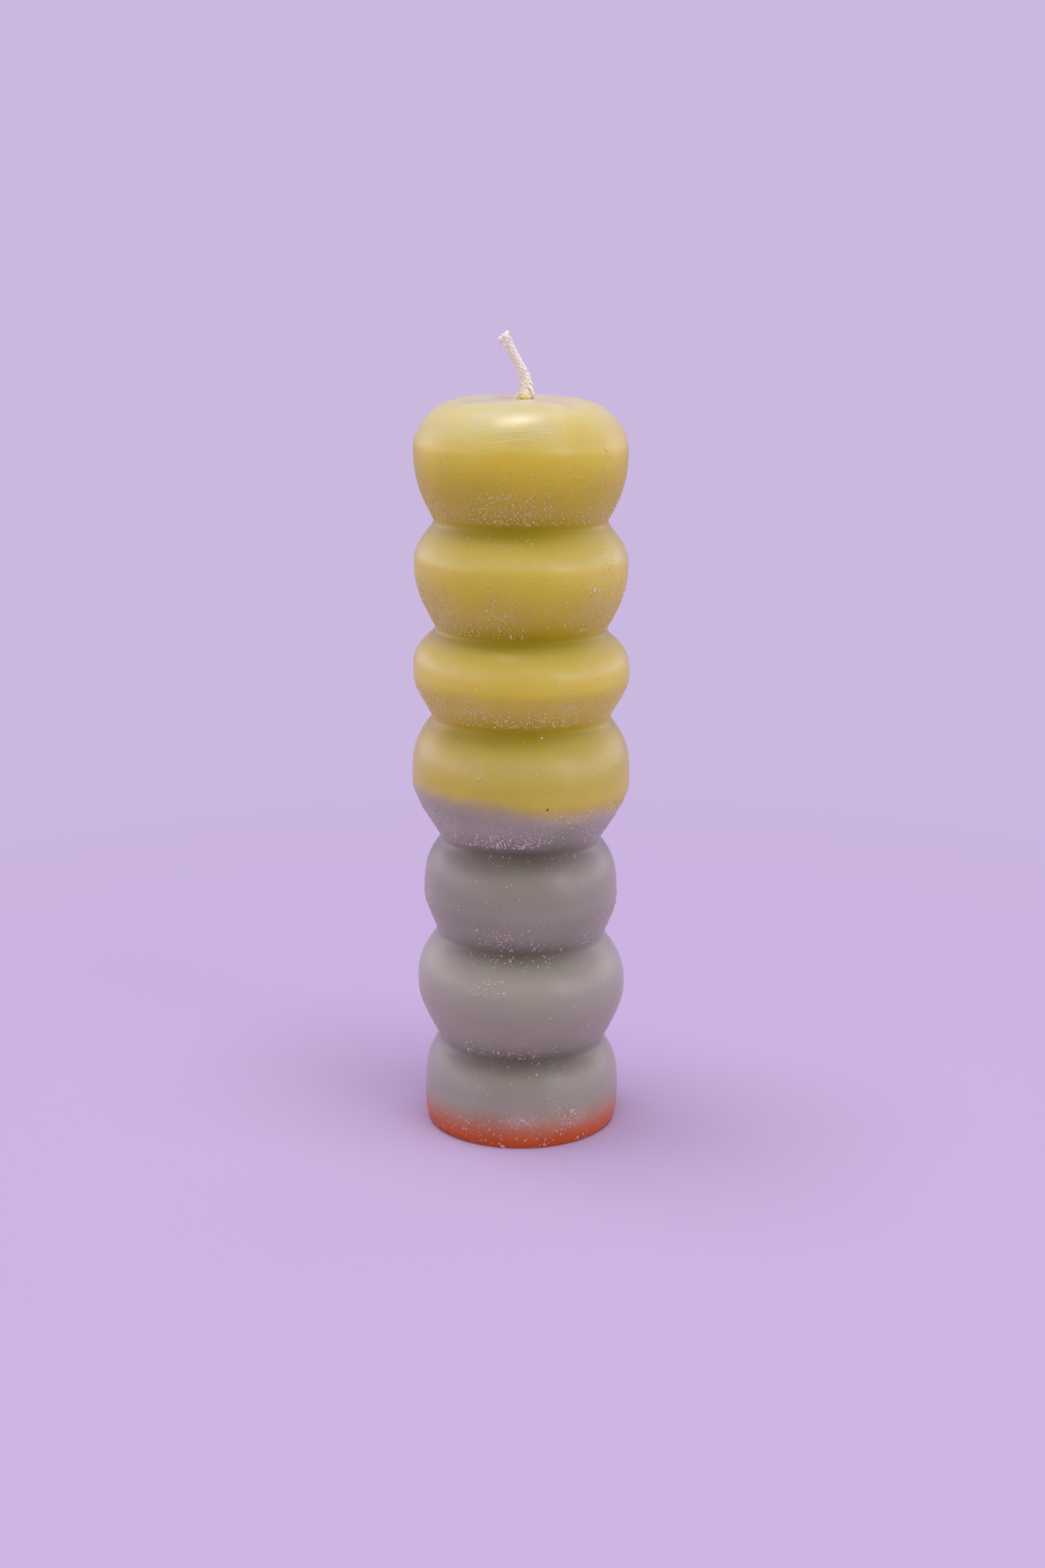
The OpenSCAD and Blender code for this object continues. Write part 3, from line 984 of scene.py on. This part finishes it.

# %% [markdown]
# ## Wax
#
# Wax lets light in a little way, so its shadows are soft and its creases glow in their own
# colour. A painted gradient could fake that, but subsurface scattering does it from every
# side, and painted shade in the creases, the pits and under the blobs comes on top of it. Its
# colour is built up in layers, and the first ones are the clouded pours and the stains that
# the other colours left on the top face.

# %% Pours and stains
# Middle on the top face and size, both in mm, then colour and how much of it shows
STAINS = [
    ((0, 0), (24, 24, 5), paint(214, 190, 150), 0.25),
    ((wick_x / MM, 0), (6, 6, 5), paint(226, 206, 160), 0.75),
    ((-4.4, 2.5), (4.6, 4.6, 4), paint(206, 104, 70), 0.65),
    ((-8, -10.5), (13, 5, 4), paint(160, 156, 172), 0.5),
    ((8.5, -12), (7, 3.6, 4), paint(190, 132, 118), 0.5),
    ((13, -15), (3.4, 2.6, 3), paint(206, 130, 112), 0.5),
    ((-3, 9), (9, 5, 4), paint(168, 150, 140), 0.35),
]


def stained(tree, point, middle, size):
    """Where a stain lies."""
    return use(tree, stain, {"Point": point, "Middle": middle, "Stretch": size})["Mask"]


tree = wax_tree
point = put(tree, "TexCoord")["Object"]
poured = use(tree, pours, {"Point": point})
on_yellow = poured["Yellow"]
values = {"Point": point, "Color": poured["Color"], "Scale": 70.0, "Amount": 0.16}
clouded = use(tree, cloudy, values)
colour = clouded["Color"]
for (x, y), size, shade, share in STAINS:
    mask = stained(tree, point, (x * MM, y * MM, top_z), [side * MM for side in size])
    colour = mix(tree, times(tree, mask, share), colour, shade)
print(len(STAINS), "stains on the top face")

# %% [markdown]
# The next layers are pale: dots of frost where it was painted on the corners, a few stray dots
# all over, and a thin white veil on everything that looks upward, most of all on the top blob.
# That veil is partly the bloom that old wax gets and partly painted sheen of the overhead light.

# %% Frost, bloom and painted sheen
FROST_AMOUNT = 0.6
STRAY_AMOUNT = 0.012
FROST_SHARE, STRAY_SHARE, HAZE_SHARE = 0.45, 0.35, 0.1
BLOOM_AND_SHEEN = 0.5
BLOOM_AND_SHEEN_FROM = 172 * MM
BLOOM_AND_SHEEN_WHITE = paint(206, 209, 208)


def painted(tree, name):
    """A number that was painted on the corners of a piece."""
    return put(tree, "Attribute", attribute_name=name)["Fac"]


frost = painted(tree, "frost")
pale_here = mix(tree, on_yellow, PALE, PALE_ON_YELLOW)
amount = times(tree, frost, FROST_AMOUNT)
frost_dots = use(tree, specks, {"Point": point, "Scale": 1900.0, "Amount": amount})["Mask"]
stray_dots = use(tree, specks, {"Point": point, "Scale": 1100.0, "Amount": STRAY_AMOUNT})["Mask"]
for mask, share in ((frost_dots, FROST_SHARE), (stray_dots, STRAY_SHARE), (frost, HAZE_SHARE)):
    colour = mix(tree, times(tree, mask, share), colour, pale_here)
upward = put(tree, "SeparateXYZ", {"Vector": put(tree, "NewGeometry")["Normal"]})["Z"]
height = put(tree, "SeparateXYZ", {"Vector": point})["Z"]
# Painted sheen over a real bloom: paler on all that faces up, most on the top blob
veil_by_height = way(tree, height, BLOOM_AND_SHEEN_FROM, BLOOM_AND_SHEEN_FROM + 10 * MM, BLOOM_AND_SHEEN / 2, BLOOM_AND_SHEEN)
bloom_and_sheen = times(tree, way(tree, upward, -0.2, 0.9), clouded["Cloud"], veil_by_height)
colour = mix(tree, bloom_and_sheen, colour, BLOOM_AND_SHEEN_WHITE)
print("frost and bloom: graph of", len(tree.nodes), "nodes so far")

# %% [markdown]
# Every height has its own brightness, in bands. One noise for the whole candle would not hit
# the same bands, so a smooth ramp over the height holds them.

# %% Dye at each height
# Heights in mm, and how bright the wax is there: 1 leaves its colour as it is
BANDING_HEIGHTS = [
    0, 8, 16, 24, 30, 40, 50, 56, 62, 72, 80, 84, 88,
    93, 97, 104, 110, 116, 137, 142, 146, 151, 155, 160, 166, 172, 180, 186, 192, 200,
]
BANDING_LEVELS = [
    1.0, 1.0, 0.88, 0.92, 0.92, 1.1, 1.07, 0.94, 0.88, 0.86, 0.9, 0.85, 0.89,
    1.02, 0.82, 0.82, 0.88, 1.0, 1.0, 0.87, 0.92, 0.97, 0.94, 1.0, 0.98, 0.89, 0.86, 1.0, 1.12, 1.08,
]
banding = put(tree, "ValToRGB", {"Fac": sums(tree, "DIVIDE", height, top_z)})["Color"]
ramp = banding.node.color_ramp
ramp.interpolation = "B_SPLINE"
while len(ramp.elements) < len(BANDING_HEIGHTS):
    ramp.elements.new(0.5)
for stop, at, level in zip(ramp.elements, BANDING_HEIGHTS, BANDING_LEVELS):
    stop.position = at * MM / top_z
    stop.color = (level, level, level, 1)
colour = mix(tree, 1.0, colour, banding, "MULTIPLY")
print(len(ramp.elements), "levels of dye")

# %% [markdown]
# The last layers follow the form, and most of them are painted light and shade. The undersides
# get a painted shade, duller and browner, and the blobs' widest part a painted glow, as if it
# let the most light through, with a wider painted milky light round it. The shoulder is greyer
# and bluer where it was rubbed, a painted highlight that whitens the lamp's shine there. The pit
# floors and the creases get painted shade, and the yellow in the creases is pure, without the
# bloom and sheen of the bellies. Each shade below says how much of the red, green and blue is
# kept.

# %% Undersides, bellies, pits and creases
# Painted shade on the undersides, on grey and on yellow wax
UNDERSIDE_SHADE_GREY = (0.96, 0.95, 0.95, 1.0)
UNDERSIDE_SHADE_YELLOW = (0.9, 0.86, 1.0, 1.0)
# Painted light: the widest part of each yellow blob is lighter
BELLY_GLOW = (1.08, 1.07, 1.1, 1.0)
# Painted light: bluer and milkier near the widest part of the yellow blobs
MILKY_LIGHT = (0.99, 1.02, 2.4, 1.0)
# Painted highlight: the shine spot on the shoulder is whiter and bluer
HIGHLIGHT_TINT = (0.94, 0.95, 1.15, 1.0)
# Painted shade on the pit floors
PIT_FLOOR_SHADE = (0.78, 0.62, 0.2, 1.0)
# Painted shade in the creases, on grey and on yellow wax
CREASE_SHADE_GREY = (0.44, 0.42, 0.38, 1.0)
CREASE_SHADE_YELLOW = (0.63, 0.62, 0.1, 1.0)
PALE_RIM_SHARE = 0.25
RUB_PLACE = (-1 * MM, -24 * MM, 196 * MM)
RUB_SIZE = (14 * MM, 14 * MM, 10 * MM)

# Painted shade of the creases and the pit floors, and the real pale rims, read from the corners
crease_shade, rim, shade_in_pit = (painted(tree, name) for name in ("painted_crease_shade", "pale_rim", "pit_shade"))
# Painted shade on all that faces down
underside_shade = way(tree, upward, 0.12, -0.55)
off_belly = put(tree, "Math", {0: plus(tree, upward, 0.03)}, operation="ABSOLUTE")[0]
open_yellow = times(tree, way(tree, crease_shade, 0.25, 0.02), on_yellow)
# Painted glow at the widest part of the yellow blobs, away from the creases
painted_belly_glow = times(tree, way(tree, off_belly, 0.36, 0.04), open_yellow)
below_top_veil = way(tree, height, BLOOM_AND_SHEEN_FROM, BLOOM_AND_SHEEN_FROM - 8 * MM)
# Painted milky light near the widest part, below the top blob
painted_milky_light = times(tree, way(tree, off_belly, 0.65, 0.25), open_yellow, below_top_veil)
# The rubbed spot on the shoulder: real streaks, and a painted highlight tint
rubbed_and_highlight_spot = stained(tree, point, RUB_PLACE, RUB_SIZE)
for mask, shade, how in (
    (underside_shade, mix(tree, on_yellow, UNDERSIDE_SHADE_GREY, UNDERSIDE_SHADE_YELLOW), "MULTIPLY"),
    (painted_belly_glow, BELLY_GLOW, "MULTIPLY"),
    (painted_milky_light, MILKY_LIGHT, "MULTIPLY"),
    (rubbed_and_highlight_spot, HIGHLIGHT_TINT, "MULTIPLY"),
    (times(tree, rim, PALE_RIM_SHARE), pale_here, "MIX"),
    (shade_in_pit, PIT_FLOOR_SHADE, "MULTIPLY"),
    (crease_shade, mix(tree, on_yellow, CREASE_SHADE_GREY, CREASE_SHADE_YELLOW), "MULTIPLY"),
):
    colour = mix(tree, mask, colour, shade, how)
print("colour of the wax: graph of", len(tree.nodes), "nodes so far")

# %% [markdown]
# The wax is satin, and shines most where hands reach it: the shine fades in the creases, in the
# pits, on the undersides and near the foot. Less roughness would make the whole wax look wet,
# so a clear coat with a mask gives the shine.

# %% Gloss of the wax
WAX_ROUGHNESS = 0.32
FROST_DULLS = 0.12
WAX_GLOSS = {"IOR": 1.5, "Specular IOR Level": 0.2, "Coat IOR": 1.6, "Coat Roughness": 0.35}
SCATTER = {
    "Subsurface Weight": 0.8,
    "Subsurface Scale": 3.6 * MM,
    "Subsurface Radius": (1.0, 0.62, 0.3),
}

polished = times(
    tree,
    way(tree, crease_shade, 0.75, 0.15, 0.05, 1.0),
    way(tree, upward, -0.35, 0.25, 0.5, 1.0),
    way(tree, height, 1 * MM, 14 * MM, 0.15, 1.0),
    way(tree, plus(tree, rim, shade_in_pit), 0.6, 0.0),
)
dulled = times(tree, plus(tree, frost, clouded["Cloud"]), FROST_DULLS)
roughness = plus(tree, dulled, WAX_ROUGHNESS)
fill(wax_shader, {"Base Color": colour, "Roughness": roughness, "Coat Weight": polished})
fill(wax_shader, {**WAX_GLOSS, **SCATTER})
print("gloss of the wax: graph of", len(tree.nodes), "nodes so far")

# %% [markdown]
# The relief is too fine to model: a soft ripple, the grain of the frost, thin lines that the
# mould left all round, in patches where its wall was rubbed, and wider streaks on the shoulder
# of the top blob, which break up the lamp's shine. Those run across it and rise a little to
# the right. Noise that is stretched one way makes lines, and a bump turns it into relief.

# %% Relief of the wax
LINE_STRETCH = (55.0, 55.0, 2400.0)
SHOULDER_FROM = 187 * MM
STREAK_SIZE = (14 * MM, 14 * MM, 0.62 * MM)
STREAK_TILT = (math.radians(-38), math.radians(-5), 0)
RIPPLE, LINES, FROST_RELIEF = 0.5, -0.4, 0.5

stretched = put(tree, "VectorMath", {0: point, 1: LINE_STRETCH}, operation="MULTIPLY")[0]
thin_lines = way(tree, clouds(tree, stretched, 1.0, 2.0), 0.58, 0.66)
rubbed = way(tree, clouds(tree, point, 55.0, 1.0), 0.45, 0.62)
turned = put(
    tree,
    "Mapping",
    {"Vector": point, "Rotation": STREAK_TILT, "Scale": STREAK_SIZE},
    vector_type="TEXTURE",
)[0]
streaks = plus(tree, clouds(tree, turned, 1.0, 2.0), -0.5)
shoulder = way(tree, height, SHOULDER_FROM, SHOULDER_FROM + 4 * MM)
strength = way(tree, rubbed_and_highlight_spot, 0.0, 1.0, 0.8, 9.0)
relief = plus(
    tree,
    times(tree, clouds(tree, point, 420.0, 4.0), RIPPLE),
    times(tree, thin_lines, rubbed, LINES),
    times(tree, frost_dots, FROST_RELIEF),
    times(tree, streaks, shoulder, strength),
)
fill(wax_shader, {"Normal": bumps(tree, relief, 0.35, 0.12 * MM)})
print("wax finish of", len(tree.nodes), "nodes")

# %% [markdown]
# A grain is the same wax, but as a small lump it scatters so much light that it looks nearly
# white. So it takes the pours' colour and lays its own tint over it, a warmer one on the yellow.
# Its surface is broken up by crystals.

# %% Finish of the grains
WARM = (1.0, 0.96, 0.66, 1.0)
GRAIN_ROUGHNESS = 0.4

tree = grain_tree
point = put(tree, "TexCoord")["Object"]
poured = use(tree, pours, {"Point": point})
values = {"Point": point, "Color": poured["Color"], "Scale": 300.0, "Amount": 0.3}
clouded = use(tree, cloudy, values)
tint = put(tree, "Attribute", attribute_name="tint")
warm = mix(tree, poured["Yellow"], tint["Color"], WARM, "MULTIPLY")
crystals = clouds(tree, point, 6000.0, 2.0)
fill(grain_shader, {
    **WAX_GLOSS,
    "Base Color": mix(tree, tint["Alpha"], clouded["Color"], warm),
    "Roughness": plus(tree, times(tree, clouded["Cloud"], 0.2), GRAIN_ROUGHNESS),
    "Normal": bumps(tree, crystals, 0.4, 0.05 * MM),
})
print("grain finish of", len(tree.nodes), "nodes")

# %% [markdown]
# ## Wick
#
# The wick is a round braid of twelve cotton strands, six each way, that pass over and under
# each other. It stands up out of the dish, bends to the left and ends in a slanted cut where
# the strands open. A textured tube would look smooth at its edge, so the strands are real:
# each runs round the cord's middle line, and its distance from that line swings in and out.

# %% Middle line of the wick
BEND_Z = dish_floor + 3.8 * MM
BEND_R = 8.5 * MM
BEND_ANGLE = math.radians(29)
TIP_L = 9.8 * MM
CUT_SLOPE = math.tan(math.radians(11))
BRAID_FROM = dish_floor - 2.5 * MM

straight_l = BEND_Z - BRAID_FROM
arc_l = BEND_R * BEND_ANGLE
wick_l = straight_l + arc_l + TIP_L


def wick_line(s):
    """Point on the middle line at distance s, the side that leans outward, and the direction."""
    lean = min(max((s - straight_l) / BEND_R, 0), BEND_ANGLE)
    side = Vector((math.cos(lean), 0, math.sin(lean)))
    ahead = Vector((-math.sin(lean), 0, math.cos(lean)))
    if s <= straight_l:
        return Vector((wick_x, 0, BRAID_FROM + s)), side, ahead
    centre = Vector((wick_x - BEND_R, 0, BEND_Z))
    return centre + side * BEND_R + ahead * max(s - straight_l - arc_l, 0), side, ahead


# Radius of the cord at heights over the dish, in mm: bulged at the wax, open at the cut
WICK_HEIGHTS = [0, 0.8, 1.8, 2.7, 3.6, 4.6, 6.2, 8.0, 10.0, 12.5, 14.5, 16.4, 17.9]
WICK_RADII = [1.85, 2.0, 1.85, 1.6, 1.7, 1.6, 1.42, 1.27, 1.2, 1.2, 1.34, 1.58, 1.75]


def wick_size(s):
    """Radius of the cord at distance s."""
    return np.interp((s - (dish_floor - BRAID_FROM)) / MM, WICK_HEIGHTS, WICK_RADII) * MM


print("wick shows", round((wick_l - (dish_floor - BRAID_FROM)) / MM, 1), "mm")

# %% [markdown]
# Strands, yarns and fuzz are all tubes along a path. A curve with a bevel would make them
# too, but here a tube can also be pressed flat and get the grooves of its twisted plies.

# %% Tubes along a path
# How deep the groove between two plies is, as a share of the tube's radius
GROOVE = 0.1
wick_corners = []
wick_faces = []


def add_tube(path, sizes, sides, flat=1.0, outs=None, plies=0, ply_turns=0.0):
    """A closed tube along a path. flat presses it towards outs, plies winds that many grooves round it."""
    start = len(wick_corners)
    side = Vector((0.3, 1, 0.2)).normalized()
    for number, (place, size) in enumerate(zip(path, sizes)):
        before, after = path[max(number - 1, 0)], path[min(number + 1, len(path) - 1)]
        ahead = (after - before).normalized()
        side = outs[number] if outs else side
        side = (side - ahead * side.dot(ahead)).normalized()
        other = ahead.cross(side)
        for k in range(sides):
            turn = 2 * math.pi * k / sides
            groove = 1 + GROOVE * math.cos(plies * turn + ply_turns * number) if plies else 1
            out = side * math.cos(turn) * flat + other * math.sin(turn)
            wick_corners.append(place + out * size * groove)
    for ring in range(len(path) - 1):
        for k in range(sides):
            here, after = start + ring * sides, (k + 1) % sides
            wick_faces.append((here + k, here + after, here + sides + after, here + sides + k))
    wick_faces.append(tuple(start + k for k in reversed(range(sides))))
    wick_faces.append(tuple(start + (len(path) - 1) * sides + k for k in range(sides)))


print("a tube's grooves are", GROOVE, "of its radius deep")

# %% [markdown]
# Half of the strands wind to the left and half to the right, and where two cross, one swings
# out and the other in. The lower turns came loose and wander a little. A core fills the
# middle, and goes on down the channel to the foot.

# %% Strands of the braid
STRANDS = 12
STRAND_STEPS = 170
STRAND_SIDES = 8
PLIES = 3
PLY_TURNS = 0.3
BRAID_TURN = 0.8 / MM
STRAND_SHARE = 0.3
STRAND_FLATNESS = 0.72
STRAND_MIDDLE = 0.74
SWING = 0.085
LOOSE_TO = 7.5 * MM
LOOSE_FADE = 4 * MM
TRIMMED = 3 * MM
CORE_STEPS = 45
CORE_SIDES = 16
CORE_SHARE = 0.78

for strand in range(STRANDS):
    hand = 1 if strand % 2 == 0 else -1
    phase = 2 * math.pi * (strand // 2) / (STRANDS // 2)
    loose = [chance.uniform(0, 9) for _ in range(3)]
    path, sizes, outs = [], [], []
    for step in range(STRAND_STEPS + 1):
        s = wick_l * step / STRAND_STEPS
        slack = max(0, min(1, (LOOSE_TO - s) / LOOSE_FADE))
        turn = phase + hand * BRAID_TURN * s + 0.5 * slack * math.sin(s / MM * 1.3 + loose[2])
        size = wick_size(s)
        swing = STRAND_MIDDLE + hand * SWING * math.cos(STRANDS / 2 * turn)
        swing += 0.12 * slack * math.sin(s / MM * 2.2 + loose[0])
        place, side, ahead = wick_line(s)
        out = side * math.cos(turn) + Vector((0, 1, 0)) * math.sin(turn)
        # Towards the end each strand is trimmed to the slant of the cut
        trim = CUT_SLOPE * math.cos(turn) * size * swing * max(0, (s - wick_l + TRIMMED) / TRIMMED)
        path.append(place + out * size * swing + ahead * trim)
        sizes.append(size * STRAND_SHARE * (1 + 0.1 * math.sin(s / MM * 2.3 + loose[1])))
        outs.append(out)
    add_tube(path, sizes, STRAND_SIDES, STRAND_FLATNESS, outs, PLIES, PLY_TURNS * hand)
core_path = [Vector((wick_x, 0, z)) for z in np.linspace(0.3 * MM, BRAID_FROM, 12)]
core_sizes = [wick_r * 0.99] * len(core_path)
for step in range(1, CORE_STEPS + 1):
    s = (wick_l - 0.4 * MM) * step / CORE_STEPS
    core_path.append(wick_line(s)[0])
    core_sizes.append(wick_size(s) * CORE_SHARE)
add_tube(core_path, core_sizes, CORE_SIDES)
print(STRANDS, "strands,", len(wick_faces), "faces")

# %% [markdown]
# From below, the strands' cut ends show in the foot. At the dish some yarns came loose: a
# frayed tuft on the right is listed stop by stop, and lumps all round come from chance.

# %% Strand ends at the foot and loose yarns
FOOT_END_OUT = 0.64
FOOT_END_SIZE = 0.26
LOOSE_YARNS = 22
YARN_PLY_TURNS = 0.4
PATH_STEPS = 12

for strand in range(STRANDS):
    turn = 2 * math.pi * strand / STRANDS
    out = Vector((math.cos(turn), math.sin(turn), 0)) * wick_r * FOOT_END_OUT
    path = [Vector((wick_x, 0, z * MM)) + out for z in (0.0, 0.3, 0.8)]
    add_tube(path, [wick_r * FOOT_END_SIZE] * 3, 10)

# Four stops each, in mm, and the yarn's radius in mm
LOOSE_ENDS = [
    ([(2.0, -1.2, 203.4), (2.8, -1.5, 202.9), (3.0, -1.4, 201.9), (3.2, -1.2, 200.9)], 0.44),
    ([(2.2, -0.6, 202.6), (2.9, -0.8, 202.2), (3.3, -0.8, 201.6), (3.6, -0.7, 201.0)], 0.4),
    ([(2.0, -0.5, 204.2), (2.5, -0.6, 204.1), (2.9, -0.5, 204.0), (3.3, -0.5, 203.9)], 0.3),
    ([(1.8, -0.9, 204.7), (2.3, -1.1, 204.6), (2.6, -1.1, 204.3), (2.9, -1.0, 204.0)], 0.26),
]
for _ in range(LOOSE_YARNS):
    turn, height = chance.uniform(0, 2 * math.pi), chance.uniform(0.7, 3.6)
    swerve, fall = chance.uniform(-0.9, 0.9), chance.uniform(0.5, 1.4)
    stops = []
    for share, bow in ((0, 0.82), (0.33, 1.04), (0.67, 1.04), (1, 0.84)):
        z = max(height - fall * share, 0.1)
        out = bow * np.interp(z, WICK_HEIGHTS, WICK_RADII)
        at = turn + swerve * share
        stops.append((wick_x / MM + out * math.cos(at), out * math.sin(at), dish_floor / MM + z))
    LOOSE_ENDS.append((stops, chance.uniform(0.24, 0.36)))


def smooth_path(stops):
    """A soft line through four stops, in millimetres."""
    path = []
    for k in range(PATH_STEPS + 1):
        t = 3 * k / PATH_STEPS
        j = min(int(t), 2)
        path.append(Vector(stops[j]).lerp(Vector(stops[j + 1]), t - j) * MM)
    for _ in range(3):
        inner = [(path[k - 1] + path[k] * 2 + path[k + 1]) / 4 for k in range(1, PATH_STEPS)]
        path = [path[0], *inner, path[-1]]
    return path


for stops, size in LOOSE_ENDS:
    path = smooth_path(stops)
    sizes = [size * MM * (1 - 0.35 * (k / PATH_STEPS) ** 3) for k in range(len(path))]
    add_tube(path, sizes, STRAND_SIDES, plies=PLIES, ply_turns=YARN_PLY_TURNS)
print(len(LOOSE_ENDS), "loose yarns")

# %% [markdown]
# Cotton has a fuzz of fine fibres, thickest at the ends. A hair system would be lost in the
# export, so each fibre is a thin tube of three sides that curls away from the cord.

# %% Fuzz and the wick piece
FIBRES = 1100
FIBRES_A_YARN = 12
FIBRE_R = 0.022 * MM
FIBRE_STEPS = (0, 0.25, 0.5, 0.75, 1)


def add_fibre(place, outward, along):
    """One thin curled fibre that leaves a surface."""
    length = chance.uniform(0.3, 0.8) * MM
    bend = Vector([chance.gauss(0, 0.5) for _ in range(3)])
    path = [
        place + (outward * math.sin(2.4 * t) * 0.45 + along * t + bend * t * t * 0.5) * length
        for t in FIBRE_STEPS
    ]
    add_tube(path, [FIBRE_R * (1 - 0.6 * t) for t in FIBRE_STEPS], 3)


above_wax = dish_floor - BRAID_FROM + 0.6 * MM
for _ in range(FIBRES):
    share = chance.random()
    s = above_wax + (wick_l - above_wax) * (share**1.3 if chance.random() < 0.75 else 1 - 0.12 * share)
    turn = chance.uniform(0, 2 * math.pi)
    place, side, ahead = wick_line(s)
    out = side * math.cos(turn) + Vector((0, 1, 0)) * math.sin(turn)
    around = ahead.cross(out) * chance.choice((-1, 1)) + ahead * chance.uniform(-1, 1)
    add_fibre(place + out * wick_size(s) * 0.9, out, around.normalized())
for stops, size in LOOSE_ENDS:
    end = Vector(stops[-1]) * MM
    away = (Vector(stops[-1]) - Vector(stops[-2])).normalized()
    for _ in range(FIBRES_A_YARN):
        spread = Vector([chance.gauss(0, 1) for _ in range(3)]).normalized()
        add_fibre(end + spread * size * 0.5 * MM - away * 0.2 * MM, spread, away)

cotton_material, cotton_tree, cotton_shader, _ = new_material("cotton")
wick = new_piece("wick_braid", wick_corners, wick_faces, cotton_material)
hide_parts("wick")

# %% [markdown]
# ## Cotton
#
# Cotton is matt and a little fuzzy, and its threads shade each other, so the gaps between the
# strands look tan. Near the wax it has drunk some of it, which makes it darker and shinier. A
# second material for that end would leave a hard line, so a mask over the height blends it in.

# %% Cotton finish
COTTON = paint(254, 248, 238)
SOAKED = paint(232, 204, 142)
SOAKED_SHARE = 0.85
SOAKED_TO = dish_floor + 3.0 * MM
SOAKED_BELOW = dish_floor + 0.9 * MM

tree = cotton_tree
point = put(tree, "TexCoord")["Object"]
clouded = use(tree, cloudy, {"Point": point, "Color": COTTON, "Scale": 500.0, "Amount": 0.22})
height = put(tree, "SeparateXYZ", {"Vector": point})["Z"]
wandering = plus(tree, height, times(tree, clouded["Cloud"], 1.2 * MM))
soaked = way(tree, wandering, SOAKED_TO, SOAKED_BELOW)
threads = clouds(tree, point, 5200.0, 3.0)
fill(cotton_shader, {
    "Base Color": mix(tree, times(tree, soaked, SOAKED_SHARE), clouded["Color"], SOAKED),
    "Roughness": way(tree, soaked, 0.0, 1.0, 0.88, 0.45),
    "Normal": bumps(tree, threads, 0.5, 0.06 * MM),
    "Sheen Weight": 0.25,
    "Sheen Roughness": 0.5,
    "Subsurface Weight": 0.25,
    "Subsurface Scale": 0.5 * MM,
    "Subsurface Radius": (1.0, 0.9, 0.8),
})
print("cotton finish of", len(tree.nodes), "nodes")
